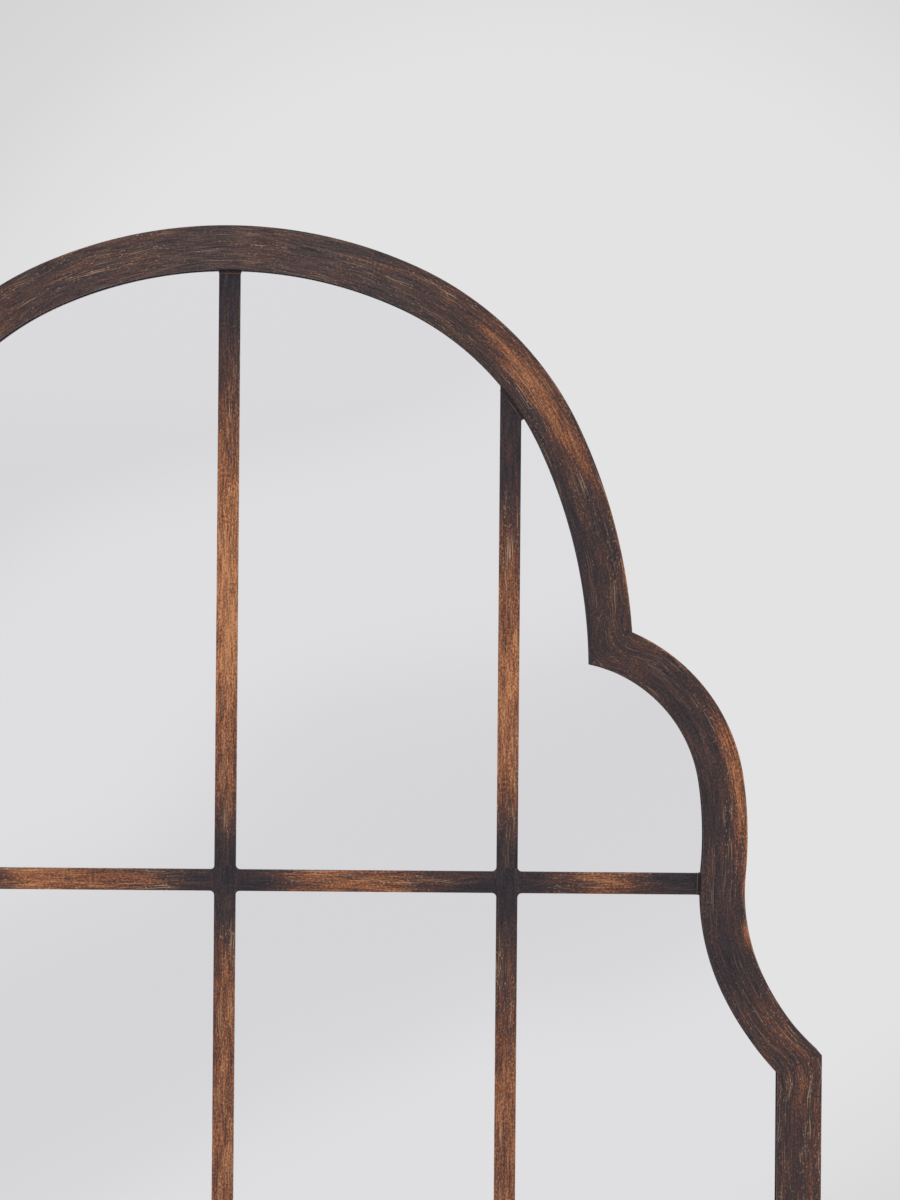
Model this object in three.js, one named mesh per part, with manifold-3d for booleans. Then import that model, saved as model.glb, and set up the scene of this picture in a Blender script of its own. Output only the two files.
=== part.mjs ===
// Arched window mirror: a welded steel angle frame with cusped shoulders, a cut steel grille, mirror
// glass and a backing board held by clips, hung on two swinging D-rings.
// Millimetres, +Z up, +X to the right seen from the front. The front faces -Y and the wall is the plane
// y = 0. The origin is on the wall plane, on the axis of symmetry, at mid height.

import * as THREE from 'three';
import { mergeVertices } from 'three/addons/utils/BufferGeometryUtils.js';
import Module from 'manifold-3d';

const wasm = await Module();
wasm.setup();

// ---------------------------------------------------------------- driving dimensions

// Grille and panes
const PANE_WIDTH = 148;            // clear glass between two upright bars
const PANE_HEIGHT = 340;           // clear glass between two cross bars, at the centre of the mirror
const COLUMNS = 4;
const ROWS = 3;
const BAR_WIDTH = 12;
const GRILLE_THICKNESS = 2;
const BAR_FILLET = 2.5;            // where a bar runs into the rim or crosses another bar
const RIM_SETBACK = 0.5;           // rim of the grille behind the inner edge of the frame

// Frame: equal steel angle, flat leg in front, other leg to the wall
const FACE_WIDTH = 25;
const ANGLE_DEPTH = 25;
const ANGLE_WALL = 3;
const WELD_GAP = 0.3;              // root gap of each mitred joint

// Centreline of the frame from the apex down to the cusp, sweeps in degrees
const CROWN_SWEEP = 24;
const HAUNCH_RADIUS = 175;
const HAUNCH_SWEEP = 40.5;
const HAUNCH_INSET = 138.65;       // from the centreline of the stile to the foot of the haunch
const SPRING_RADIUS = 310;

// Centreline of the frame from the knee up to the cusp, sweeps in degrees
const KNEE_DROP = 472.5;           // from the top of the frame
const KNEE_SLOPE = 44;             // of the flare at the knee, below the horizontal
const FLARE_RADIUS = 157;
const FLARE_SWEEP = 19.5;
const WAIST_RADIUS = 123;
const WAIST_SWEEP = 31.5;
const LOBE_FOOT_RADIUS = 221;
const LOBE_FOOT_SWEEP = 13.5;
const LOBE_RADIUS = 93;

// Layers behind the frame's face, front to back
const LAYER_GAP = 0.3;             // play between two neighbouring layers
const GLASS_THICKNESS = 3;
const FOAM_THICKNESS = 1;
const FOAM_WIDTH = 12;
const BOARD_THICKNESS = 9;
const GRILLE_EDGE_PLAY = 0.5;      // between each layer's edge and the side leg of the frame
const GLASS_EDGE_PLAY = 1.5;
const FOAM_EDGE_PLAY = 3;
const BOARD_EDGE_PLAY = 1;

// Wall pads
const PAD_RADIUS = 6;
const PAD_TAPER = 1;               // radius lost towards the wall
const PAD_PROUD = 1;               // the pads keep the frame this far off the wall
const PAD_INSET = 14;              // from the inner edge of the stile
const PAD_KNEE_DROP = 64.5;        // upper pads, below the knee
const PAD_RISE = 37;               // lower pads, above the bottom edge
const PAD_SIDES = 24;

// Board clips
const CLIP_LENGTH = 18;
const CLIP_FOOT = 16;
const CLIP_THICKNESS = 1.5;
const CLIP_HEIGHT = 4.5;
const CLIP_EDGE_PLAY = 0.4;        // between a clip and the side leg it is welded to
const CLIP_HAUNCH_ANGLE = 46;      // degrees from the apex, seen from the centre of the haunch
const CLIP_KNEE_DROP = 134.5;      // upper clips of the stiles, below the knee
const CLIP_RISE = 147;             // lower clips of the stiles, above the bottom edge
const CLIP_BOTTOM_INSET = 134;     // from the inner edge of the stile

// Strap hangers and D-rings
const HANGER_INSET = 114;          // from the inner edge of the stile
const HANGER_DROP = 297;           // of the eye's axis, from the top of the frame
const STRAP_WIDTH = 12;
const STRAP_LENGTH = 42;           // below the eye's axis
const STRAP_THICKNESS = 1;
const STRAP_SCREWS = 2;
const STRAP_SCREW_SPACING = 12;
const STRAP_SCREW_END = 6;         // from the lowest screw to the end of the strap
const EYE_CLEARANCE = 0.25;
const EYE_WRAP = 285;              // degrees that the eye is rolled round the ring's bar
const EYE_STEPS = 16;
const RING_WIRE_RADIUS = 1.25;
const RING_SIDE_PLAY = 2;          // between a side of the ring and the strap
const RING_CORNER_RADIUS = 2.5;
const RING_CORNER_STEPS = 3;
const RING_SIDE_LENGTH = 6;        // from the bar's axis down to the centre of the round end
const RING_END_STEPS = 12;

// Pan head screws
const SCREW_RADIUS = 1.5;
const SCREW_LENGTH = 8;
const SCREW_TIP = 2;
const SCREW_HEAD_RADIUS = 3.2;
const SCREW_HEAD_HEIGHT = 1.8;
const SCREW_HEAD_TAPER = 1;        // radius lost over the outer half of the head
const SCREW_HOLE_PLAY = 0.35;

// Fineness of round stretches, and how far a cutter runs past both faces of what it cuts
const ARC_STEP = 3.2;              // degrees
const FILLET_STEPS = 4;
const FILLET_RUN = 2.2;            // longest run of a fillet along an edge, in fillet radii
const FILLET_CLEARANCE = 1.2;      // rim points this near a bar corner are left out, in longest runs
const SMOOTH_ANGLE = 165;          // degrees; corners that open wider take no fillet
const ON_LINE = 1e-6;              // a point this close to a line lies on it
const SCREW_SIDES = 12;
const WIRE_SIDES = 10;
const CUTTER_REACH = 1;

// ---------------------------------------------------------------- derived places

const half = FACE_WIDTH / 2;
const pitch = PANE_WIDTH + BAR_WIDTH;
const innerHalfWidth = (COLUMNS * PANE_WIDTH + (COLUMNS - 1) * BAR_WIDTH) / 2;
const stileX = innerHalfWidth + half;
const height = ROWS * PANE_HEIGHT + (ROWS - 1) * BAR_WIDTH + 2 * FACE_WIDTH;
const topZ = height / 2;
const bottomZ = -height / 2;
const kneeZ = topZ - KNEE_DROP;

// Outward offset of the inner face of the frame's side leg from the centreline
const legInside = half - ANGLE_WALL;

const frameRearY = -PAD_PROUD;
const frameFrontY = frameRearY - ANGLE_DEPTH;
const faceBackY = frameFrontY + ANGLE_WALL;
const grilleFrontY = faceBackY + LAYER_GAP;
const grilleBackY = grilleFrontY + GRILLE_THICKNESS;
const glassFrontY = grilleBackY + LAYER_GAP;
const glassBackY = glassFrontY + GLASS_THICKNESS;
const foamFrontY = glassBackY + LAYER_GAP;
const foamBackY = foamFrontY + FOAM_THICKNESS;
const boardFrontY = foamBackY + LAYER_GAP;
const boardBackY = boardFrontY + BOARD_THICKNESS;
const fittingFrontY = boardBackY + LAYER_GAP;

// ---------------------------------------------------------------- materials

function finish(color, roughness, metalness) {
  return new THREE.MeshStandardMaterial({ color, roughness, metalness });
}

const bronze = finish(0x3d2f2b, 0.5, 0.8);
const rubbedBronze = finish(0x5c3a28, 0.45, 0.8);
const silvered = finish(0xd9dbdd, 0.03, 1.0);
const foam = finish(0x2b2b2d, 0.95, 0.0);
const fibreboard = finish(0x8a6a4c, 0.85, 0.0);
const zinc = finish(0xb9bcc0, 0.35, 1.0);
const rubber = finish(0x1d1d1f, 0.8, 0.0);

// ---------------------------------------------------------------- plane geometry
// Points are [x, z] pairs. An arc is { c, r, from, to, side }: its points lie at angle t from its centre,
// and an outward offset d adds side * d to its radius (side is -1 where the frame curves inwards).

const rad = (degrees) => degrees * Math.PI / 180;
const polar = (c, r, t) => [c[0] + r * Math.cos(t), c[1] + r * Math.sin(t)];
const angleFrom = (c, p) => Math.atan2(p[1] - c[1], p[0] - c[0]);
const mirrorX = (points) => points.map(([x, z]) => [-x, z]).reverse();

const apexPoint = [0, topZ - half];

// The right half of the frame's centreline as tangent arcs, apex to cusp and cusp to knee. The centres
// of two tangent arcs lie on the normal at their join, so each centre is found from the one before it.
function centrelineArcs() {
  // From the apex down, with the outward normal of the frame at each join. The crown's radius is the
  // one that puts the foot of the haunch at its distance from the stile.
  const n0 = rad(90);
  const n1 = n0 - rad(CROWN_SWEEP);
  const n2 = n1 - rad(HAUNCH_SWEEP);
  const haunchX = stileX - HAUNCH_INSET - HAUNCH_RADIUS * Math.cos(n2);
  const crownRadius = HAUNCH_RADIUS + haunchX / Math.cos(n1);
  const crown = polar(apexPoint, -crownRadius, n0);
  const haunch = polar(crown, crownRadius - HAUNCH_RADIUS, n1);
  const spring = polar(haunch, HAUNCH_RADIUS - SPRING_RADIUS, n2);

  // From the knee up.
  const m0 = rad(90 - KNEE_SLOPE);
  const m1 = m0 - rad(FLARE_SWEEP);
  const m2 = m1 - rad(WAIST_SWEEP);
  const m3 = m2 + rad(LOBE_FOOT_SWEEP);
  const flare = polar([stileX, kneeZ], FLARE_RADIUS, m0);
  const waist = polar(flare, WAIST_RADIUS - FLARE_RADIUS, m1);
  const lobeFoot = polar(waist, -(WAIST_RADIUS + LOBE_FOOT_RADIUS), m2);
  const lobe = polar(lobeFoot, LOBE_FOOT_RADIUS - LOBE_RADIUS, m3);
  const turn = Math.PI;

  return {
    arch: [
      { c: crown, r: crownRadius, from: n0, to: n1, side: 1 },
      { c: haunch, r: HAUNCH_RADIUS, from: n1, to: n2, side: 1 },
      { c: spring, r: SPRING_RADIUS, from: n2, to: n2, side: 1 },
    ],
    shoulder: [
      { c: lobe, r: LOBE_RADIUS, from: m3, to: m3, side: 1 },
      { c: lobeFoot, r: LOBE_FOOT_RADIUS, from: m3, to: m2, side: 1 },
      { c: waist, r: WAIST_RADIUS, from: m2 - turn, to: m1 - turn, side: -1 },
      { c: flare, r: FLARE_RADIUS, from: m1 - turn, to: m0 - turn, side: -1 },
    ],
  };
}

const { arch: archArcs, shoulder: shoulderArcs } = centrelineArcs();
const springArc = archArcs[archArcs.length - 1];
const lobeArc = shoulderArcs[0];
const flareArc = shoulderArcs[shoulderArcs.length - 1];

// Where the spring of the arch meets the lobe, at an outward offset d: the higher right-hand crossing.
function cuspPoint(d) {
  const ra = springArc.r + d;
  const rb = lobeArc.r + d;
  const dx = lobeArc.c[0] - springArc.c[0];
  const dz = lobeArc.c[1] - springArc.c[1];
  const gap = Math.hypot(dx, dz);
  const along = (gap * gap + ra * ra - rb * rb) / (2 * gap);
  const across = Math.sqrt(ra * ra - along * along);
  return [
    springArc.c[0] + (along * dx - across * dz) / gap,
    springArc.c[1] + (along * dz + across * dx) / gap,
  ];
}

// Where the flare meets the stile, at an outward offset d.
function kneePoint(d) {
  const x = stileX + d;
  const r = flareArc.r - d;
  return [x, flareArc.c[1] - Math.sqrt(r * r - (x - flareArc.c[0]) ** 2)];
}

const cornerPoint = (d) => [stileX + d, bottomZ + half - d];

// Points of one arc at an outward offset. The count of steps is the same at every offset.
function arcPoints(arc, d, from, to) {
  const steps = Math.max(1, Math.ceil(Math.abs(arc.to - arc.from) / rad(ARC_STEP)));
  return Array.from({ length: steps + 1 }, (_, i) => {
    return polar(arc.c, arc.r + arc.side * d, from + (to - from) * i / steps);
  });
}

// The spring and lobe arcs end at the cusp, and the flare ends at the knee.
springArc.to = angleFrom(springArc.c, cuspPoint(0));
lobeArc.from = angleFrom(lobeArc.c, cuspPoint(0));
flareArc.to = angleFrom(flareArc.c, kneePoint(0));

// A chain of arcs at an offset whose two ends are moved to the points start and end.
function chainPoints(arcs, d, start, end) {
  const points = [];
  arcs.forEach((arc, i) => {
    const from = i === 0 ? angleFrom(arc.c, start) : arc.from;
    const to = i === arcs.length - 1 ? angleFrom(arc.c, end) : arc.to;
    points.push(...arcPoints(arc, d, from, to).slice(i === 0 ? 0 : 1));
  });
  return points;
}

// The whole closed outline at an outward offset d from the frame's centreline, clockwise from the apex.
function outline(d) {
  const apex = [0, topZ - half + d];
  const arch = chainPoints(archArcs, d, apex, cuspPoint(d));
  const shoulder = chainPoints(shoulderArcs, d, cuspPoint(d), kneePoint(d)).slice(1);
  const right = [...arch, ...shoulder, cornerPoint(d)];
  return [...right, ...mirrorX(right).slice(0, -1)];
}

// ---------------------------------------------------------------- solids

// A flat plate in the XZ plane from frontY back to backY.
function plate(points, frontY, backY) {
  const shape = new THREE.Shape(points.map(([x, z]) => new THREE.Vector2(x, z)));
  const geometry = new THREE.ExtrudeGeometry(shape, { depth: backY - frontY, bevelEnabled: false });
  geometry.rotateX(Math.PI / 2);
  geometry.translate(0, backY, 0);
  return geometry;
}

// A bar lofted through sections that all have the same count of corners, closed at both ends, or
// running back into itself when closed is true. Each section is a list of [x, y, z] corners.
function loft(sections, closed = false) {
  const corners = sections[0].length;
  const positions = sections.flat(2);
  const at = (k, i) => (k % sections.length) * corners + (i % corners);
  const index = [];
  const spans = closed ? sections.length : sections.length - 1;
  for (let k = 0; k < spans; k += 1) {
    for (let i = 0; i < corners; i += 1) {
      index.push(at(k, i), at(k, i + 1), at(k + 1, i + 1));
      index.push(at(k, i), at(k + 1, i + 1), at(k + 1, i));
    }
  }
  if (!closed) {
    const last = sections.length - 1;
    for (const [a, b, c] of capTriangles(sections[0])) index.push(at(0, a), at(0, c), at(0, b));
    for (const [a, b, c] of capTriangles(sections[last])) index.push(at(last, a), at(last, b), at(last, c));
  }
  const geometry = new THREE.BufferGeometry();
  geometry.setAttribute('position', new THREE.Float32BufferAttribute(positions, 3));
  geometry.setIndex(index);
  return outwards(geometry);
}

// Triangles that fill an upright plane section, wound the way its corners go.
function capTriangles(section) {
  const [x0, , z0] = section[0];
  const distance = ([x, , z]) => Math.hypot(x - x0, z - z0);
  const far = section.reduce((best, corner) => (distance(corner) > distance(best) ? corner : best));
  const dx = (far[0] - x0) / distance(far);
  const dz = (far[2] - z0) / distance(far);
  const contour = section.map(([x, y, z]) => new THREE.Vector2((x - x0) * dx + (z - z0) * dz, y));
  const triangles = THREE.ShapeUtils.triangulateShape(contour, []);
  const area = triangles.reduce((sum, [a, b, c]) => {
    return sum + THREE.ShapeUtils.area([contour[a], contour[b], contour[c]]);
  }, 0);
  const sameWay = area * THREE.ShapeUtils.area(contour) > 0;
  return sameWay ? triangles : triangles.map(([a, b, c]) => [a, c, b]);
}

// Turns all faces round when the closed mesh encloses a negative volume.
function outwards(geometry) {
  const p = geometry.getAttribute('position');
  const index = Array.from(geometry.getIndex().array);
  const a = new THREE.Vector3();
  const b = new THREE.Vector3();
  const c = new THREE.Vector3();
  let volume = 0;
  for (let i = 0; i < index.length; i += 3) {
    a.fromBufferAttribute(p, index[i]);
    b.fromBufferAttribute(p, index[i + 1]);
    c.fromBufferAttribute(p, index[i + 2]);
    volume += a.dot(b.cross(c));
  }
  if (volume < 0) {
    for (let i = 0; i < index.length; i += 3) {
      [index[i + 1], index[i + 2]] = [index[i + 2], index[i + 1]];
    }
    geometry.setIndex(index);
  }
  return geometry;
}

// The bare closed surface, with every shared corner held once.
function welded(geometry) {
  const bare = geometry.clone();
  bare.deleteAttribute('normal');
  bare.deleteAttribute('uv');
  return mergeVertices(bare);
}

// A turned piece about an axis along Y through [x, z]. The profile is [radius, y] pairs.
function turned(profile, [x, z], sides) {
  const points = profile.map(([radius, y]) => new THREE.Vector2(radius, y));
  const geometry = new THREE.LatheGeometry(points, sides);
  geometry.translate(x, 0, z);
  return outwards(welded(geometry));
}

function toManifold(geometry) {
  const merged = welded(geometry);
  return new wasm.Manifold(new wasm.Mesh({
    numProp: 3,
    vertProperties: new Float32Array(merged.getAttribute('position').array),
    triVerts: new Uint32Array(merged.getIndex().array),
  }));
}

function fromManifold(solid) {
  const mesh = solid.getMesh();
  const geometry = new THREE.BufferGeometry();
  geometry.setAttribute('position', new THREE.BufferAttribute(mesh.vertProperties, 3));
  geometry.setIndex(new THREE.BufferAttribute(mesh.triVerts, 1));
  return geometry;
}

// The solid left when every tool is taken out of it.
function cut(geometry, tools) {
  return fromManifold(tools.reduce((body, tool) => body.subtract(toManifold(tool)), toManifold(geometry)));
}

const mirror = new THREE.Group();

function addPiece(name, geometry, material) {
  const mesh = new THREE.Mesh(geometry, material);
  mesh.name = name;
  mirror.add(mesh);
}

// ---------------------------------------------------------------- frame rails

// The straight line of a mitre through the frame's outer and inner corner, moved by half the weld gap
// towards one of the two rails. It is kept as a point on the line and a unit normal.
function mitreLine(corner, towards) {
  const [outer, inner] = [corner(half), corner(-half)];
  const dx = outer[0] - inner[0];
  const dz = outer[1] - inner[1];
  const length = Math.hypot(dx, dz);
  let normal = [dz / length, -dx / length];
  const side = normal[0] * (towards[0] - inner[0]) + normal[1] * (towards[1] - inner[1]);
  if (side < 0) normal = [-normal[0], -normal[1]];
  const shift = WELD_GAP / 2;
  return { p: [inner[0] + normal[0] * shift, inner[1] + normal[1] * shift], n: normal };
}

// Where a mitre line crosses an arc at an outward offset, next to the point near.
function crossArc(arc, d, line, near) {
  const r = arc.r + arc.side * d;
  const reach = line.n[0] * (line.p[0] - arc.c[0]) + line.n[1] * (line.p[1] - arc.c[1]);
  const middle = Math.atan2(line.n[1], line.n[0]);
  const spread = Math.acos(reach / r);
  const options = [polar(arc.c, r, middle + spread), polar(arc.c, r, middle - spread)];
  const distance = (p) => Math.hypot(p[0] - near[0], p[1] - near[1]);
  return distance(options[0]) < distance(options[1]) ? options[0] : options[1];
}

// Where a mitre line crosses an upright line x, or a level line z.
const crossUpright = (line, x) => [x, line.p[1] - line.n[0] * (x - line.p[0]) / line.n[1]];
const crossLevel = (line, z) => [line.p[0] - line.n[1] * (z - line.p[1]) / line.n[0], z];

// The L section of the angle as offsets and depths, joined through the paths of its three offsets.
function rail(pathAt) {
  const outer = pathAt(half);
  const web = pathAt(legInside);
  const inner = pathAt(-half);
  return loft(outer.map((_, k) => [
    [outer[k][0], frameFrontY, outer[k][1]],
    [inner[k][0], frameFrontY, inner[k][1]],
    [inner[k][0], faceBackY, inner[k][1]],
    [web[k][0], faceBackY, web[k][1]],
    [web[k][0], frameRearY, web[k][1]],
    [outer[k][0], frameRearY, outer[k][1]],
  ]));
}

// A point on the centreline of each rail, which tells the sides of a mitre apart
const waistPoint = polar(lobeArc.c, lobeArc.r, lobeArc.to);
const stileMiddle = [stileX, (kneeZ + bottomZ) / 2];
const bottomMiddle = [0, bottomZ + half];

function archPath(d) {
  const line = mitreLine(cuspPoint, apexPoint);
  const foot = crossArc(springArc, d, line, cuspPoint(d));
  const right = chainPoints(archArcs, d, [0, topZ - half + d], foot);
  return [...mirrorX(right), ...right.slice(1)];
}

function shoulderPath(d) {
  const top = crossArc(lobeArc, d, mitreLine(cuspPoint, waistPoint), cuspPoint(d));
  const foot = crossArc(flareArc, d, mitreLine(kneePoint, waistPoint), kneePoint(d));
  return chainPoints(shoulderArcs, d, top, foot);
}

function stilePath(d) {
  const x = stileX + d;
  return [
    crossUpright(mitreLine(kneePoint, stileMiddle), x),
    crossUpright(mitreLine(cornerPoint, stileMiddle), x),
  ];
}

function bottomPath(d) {
  const corner = crossLevel(mitreLine(cornerPoint, bottomMiddle), bottomZ + half - d);
  return [corner, [-corner[0], corner[1]]];
}

addPiece('arch_rail', rail(archPath), bronze);
addPiece('shoulder_rail_right', rail(shoulderPath), bronze);
addPiece('shoulder_rail_left', rail((d) => mirrorX(shoulderPath(d))), bronze);
addPiece('stile_right', rail(stilePath), bronze);
addPiece('stile_left', rail((d) => mirrorX(stilePath(d))), bronze);
addPiece('bottom_rail', rail(bottomPath), bronze);

// ---------------------------------------------------------------- window grille

// The part of a polygon on one side of an upright (axis 0) or level (axis 1) line.
function clip(points, axis, limit, keepAbove) {
  const inside = (p) => (keepAbove ? p[axis] >= limit : p[axis] <= limit);
  const kept = [];
  points.forEach((p, i) => {
    const q = points[(i + 1) % points.length];
    if (inside(p)) kept.push(p);
    if (inside(p) !== inside(q)) {
      const t = (limit - p[axis]) / (q[axis] - p[axis]);
      kept.push([p[0] + t * (q[0] - p[0]), p[1] + t * (q[1] - p[1])]);
    }
  });
  return kept;
}

// Rounds the corners of a pane that lie on the edge of a bar. The rim's points next to such a corner
// are left out, so that each fillet runs between two straight edges.
function filletCorners(pane, isBarCorner) {
  const longestRun = FILLET_RUN * BAR_FILLET;
  const corners = pane.filter(isBarCorner);
  const points = pane.filter((p) => isBarCorner(p) || corners.every((q) => {
    return Math.hypot(p[0] - q[0], p[1] - q[1]) > FILLET_CLEARANCE * longestRun;
  }));
  return points.flatMap((p, i) => {
    if (!isBarCorner(p)) return [p];
    const before = points[(i + points.length - 1) % points.length];
    const after = points[(i + 1) % points.length];
    const toBefore = new THREE.Vector2(before[0] - p[0], before[1] - p[1]).normalize();
    const toAfter = new THREE.Vector2(after[0] - p[0], after[1] - p[1]).normalize();
    const opening = toBefore.angleTo(toAfter);
    if (opening > rad(SMOOTH_ANGLE)) return [p];
    const run = Math.min(BAR_FILLET / Math.tan(opening / 2), longestRun);
    const radius = run * Math.tan(opening / 2);
    const middle = toBefore.clone().add(toAfter).normalize();
    const reach = radius / Math.sin(opening / 2);
    const centre = [p[0] + middle.x * reach, p[1] + middle.y * reach];
    const start = angleFrom(centre, [p[0] + toBefore.x * run, p[1] + toBefore.y * run]);
    const end = angleFrom(centre, [p[0] + toAfter.x * run, p[1] + toAfter.y * run]);
    const sweep = Math.atan2(Math.sin(end - start), Math.cos(end - start));
    return Array.from({ length: FILLET_STEPS + 1 }, (_, k) => {
      return polar(centre, radius, start + sweep * k / FILLET_STEPS);
    });
  });
}

// One pane: the inside of the rim between two upright and two cross bars. Column and row count from the
// left and from the top.
function panePoints(column, row) {
  const rim = outline(-half + RIM_SETBACK);
  const left = -innerHalfWidth + column * pitch;
  const top = topZ - FACE_WIDTH - row * (PANE_HEIGHT + BAR_WIDTH);
  const limits = [];
  if (column > 0) limits.push([0, left, true]);
  if (column < COLUMNS - 1) limits.push([0, left + PANE_WIDTH, false]);
  if (row > 0) limits.push([1, top, false]);
  if (row < ROWS - 1) limits.push([1, top - PANE_HEIGHT, true]);
  let pane = rim;
  for (const [axis, limit, keepAbove] of limits) pane = clip(pane, axis, limit, keepAbove);
  const onBar = (p) => limits.some(([axis, limit]) => Math.abs(p[axis] - limit) < ON_LINE);
  return filletCorners(pane, onBar);
}

const panes = [];
for (let row = 0; row < ROWS; row += 1) {
  for (let column = 0; column < COLUMNS; column += 1) {
    const pane = panePoints(column, row);
    panes.push(plate(pane, grilleFrontY - CUTTER_REACH, grilleBackY + CUTTER_REACH));
  }
}
const grilleSheet = plate(outline(legInside - GRILLE_EDGE_PLAY), grilleFrontY, grilleBackY);
addPiece('window_grille', cut(grilleSheet, panes), rubbedBronze);

// ---------------------------------------------------------------- glass, foam and board

addPiece('mirror_glass', plate(outline(legInside - GLASS_EDGE_PLAY), glassFrontY, glassBackY), silvered);

const foamOffset = legInside - FOAM_EDGE_PLAY;
const foamSheet = plate(outline(foamOffset), foamFrontY, foamBackY);
const foamHole = plate(outline(foamOffset - FOAM_WIDTH), foamFrontY - CUTTER_REACH, foamBackY + CUTTER_REACH);
addPiece('foam_strip', cut(foamSheet, [foamHole]), foam);

// Every clip is placed by the point of the side leg's inner face next to it and the outward direction.
const haunchArc = archArcs[1];
const haunchAngle = rad(90 - CLIP_HAUNCH_ANGLE);
const haunchPoint = polar(haunchArc.c, haunchArc.r + legInside, haunchAngle);
const stileInside = stileX + legInside;
const clipUpperZ = kneeZ - CLIP_KNEE_DROP;
const clipLowerZ = bottomZ + CLIP_RISE;
const clipBottomX = innerHalfWidth - CLIP_BOTTOM_INSET;
const clipPlaces = [
  ['clip_apex', [0, topZ - half + legInside], rad(90)],
  ['clip_haunch_right', haunchPoint, haunchAngle],
  ['clip_haunch_left', [-haunchPoint[0], haunchPoint[1]], Math.PI - haunchAngle],
  ['clip_stile_upper_right', [stileInside, clipUpperZ], 0],
  ['clip_stile_upper_left', [-stileInside, clipUpperZ], Math.PI],
  ['clip_stile_lower_right', [stileInside, clipLowerZ], 0],
  ['clip_stile_lower_left', [-stileInside, clipLowerZ], Math.PI],
  ['clip_bottom_right', [clipBottomX, bottomZ + half - legInside], rad(-90)],
  ['clip_bottom_left', [-clipBottomX, bottomZ + half - legInside], rad(-90)],
];
const clipScrewInset = CLIP_EDGE_PLAY + (CLIP_FOOT + CLIP_THICKNESS) / 2;
const clipScrews = clipPlaces.map(([, point, direction]) => polar(point, -clipScrewInset, direction));

const hangerX = innerHalfWidth - HANGER_INSET;
const hangerZ = topZ - HANGER_DROP;
const hangers = [['left', -hangerX], ['right', hangerX]];
const lowestScrewZ = hangerZ - STRAP_LENGTH + STRAP_SCREW_END;
const strapScrews = (x) => Array.from({ length: STRAP_SCREWS }, (_, i) => {
  return [x, lowestScrewZ + i * STRAP_SCREW_SPACING];
});
const hangerScrews = hangers.flatMap(([, x]) => strapScrews(x));

const holeRadius = SCREW_RADIUS + SCREW_HOLE_PLAY;

// A cutter for a screw's clearance hole through a layer from frontY back to backY.
function screwHole(place, frontY, backY) {
  const [from, to] = [frontY - CUTTER_REACH, backY + CUTTER_REACH];
  return turned([[0, from], [holeRadius, from], [holeRadius, to], [0, to]], place, SCREW_SIDES);
}

const boardSheet = plate(outline(legInside - BOARD_EDGE_PLAY), boardFrontY, boardBackY);
const pilotHoles = [...clipScrews, ...hangerScrews].map((place) => screwHole(place, boardFrontY, boardBackY));
addPiece('backing_board', cut(boardSheet, pilotHoles), fibreboard);

// ---------------------------------------------------------------- screws

// A pan head screw driven in from the back, with the underside of its head at seatY.
function screw(place, seatY) {
  return turned([
    [0, seatY - SCREW_LENGTH],
    [SCREW_RADIUS, seatY - SCREW_LENGTH + SCREW_TIP],
    [SCREW_RADIUS, seatY],
    [SCREW_HEAD_RADIUS, seatY],
    [SCREW_HEAD_RADIUS, seatY + SCREW_HEAD_HEIGHT / 2],
    [SCREW_HEAD_RADIUS - SCREW_HEAD_TAPER, seatY + SCREW_HEAD_HEIGHT],
    [0, seatY + SCREW_HEAD_HEIGHT],
  ], place, SCREW_SIDES);
}

// ---------------------------------------------------------------- clips

// A bent clip: a foot on the board and a leg up against the side leg of the frame.
function clipSolid([x, z], direction) {
  const profile = [
    [-CLIP_EDGE_PLAY, fittingFrontY],
    [-CLIP_EDGE_PLAY, fittingFrontY + CLIP_HEIGHT],
    [-CLIP_EDGE_PLAY - CLIP_THICKNESS, fittingFrontY + CLIP_HEIGHT],
    [-CLIP_EDGE_PLAY - CLIP_THICKNESS, fittingFrontY + CLIP_THICKNESS],
    [-CLIP_EDGE_PLAY - CLIP_FOOT, fittingFrontY + CLIP_THICKNESS],
    [-CLIP_EDGE_PLAY - CLIP_FOOT, fittingFrontY],
  ];
  const out = [Math.cos(direction), Math.sin(direction)];
  const along = [-out[1], out[0]];
  const section = (s) => profile.map(([u, y]) => {
    return [x + out[0] * u + along[0] * s, y, z + out[1] * u + along[1] * s];
  });
  return loft([section(-CLIP_LENGTH / 2), section(CLIP_LENGTH / 2)]);
}

clipPlaces.forEach(([name, point, direction], i) => {
  const hole = screwHole(clipScrews[i], fittingFrontY, fittingFrontY + CLIP_THICKNESS);
  addPiece(name, cut(clipSolid(point, direction), [hole]), zinc);
});
const clipSeatY = fittingFrontY + CLIP_THICKNESS + LAYER_GAP;
clipPlaces.forEach(([name], i) => {
  addPiece(name.replace('clip', 'clip_screw'), screw(clipScrews[i], clipSeatY), zinc);
});

// ---------------------------------------------------------------- strap hangers and D-rings

const eyeInner = RING_WIRE_RADIUS + EYE_CLEARANCE;
const eyeOuter = eyeInner + STRAP_THICKNESS;
const eyeY = fittingFrontY + eyeOuter;

// The strap in its side view: a flat tail, rolled over the ring's bar into an eye.
function strapProfile() {
  const roll = (radius) => Array.from({ length: EYE_STEPS + 1 }, (_, k) => {
    return polar([eyeY, 0], radius, Math.PI - rad(EYE_WRAP) * k / EYE_STEPS);
  });
  return [
    [fittingFrontY, -STRAP_LENGTH],
    ...roll(eyeOuter),
    ...roll(eyeInner).reverse(),
    [fittingFrontY + STRAP_THICKNESS, -STRAP_LENGTH],
  ];
}

function strap(x) {
  const section = (side) => strapProfile().map(([y, z]) => [x + side * STRAP_WIDTH / 2, y, hangerZ + z]);
  const holes = strapScrews(x).map((place) => {
    return screwHole(place, fittingFrontY, fittingFrontY + STRAP_THICKNESS);
  });
  return cut(loft([section(-1), section(1)]), holes);
}

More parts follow.
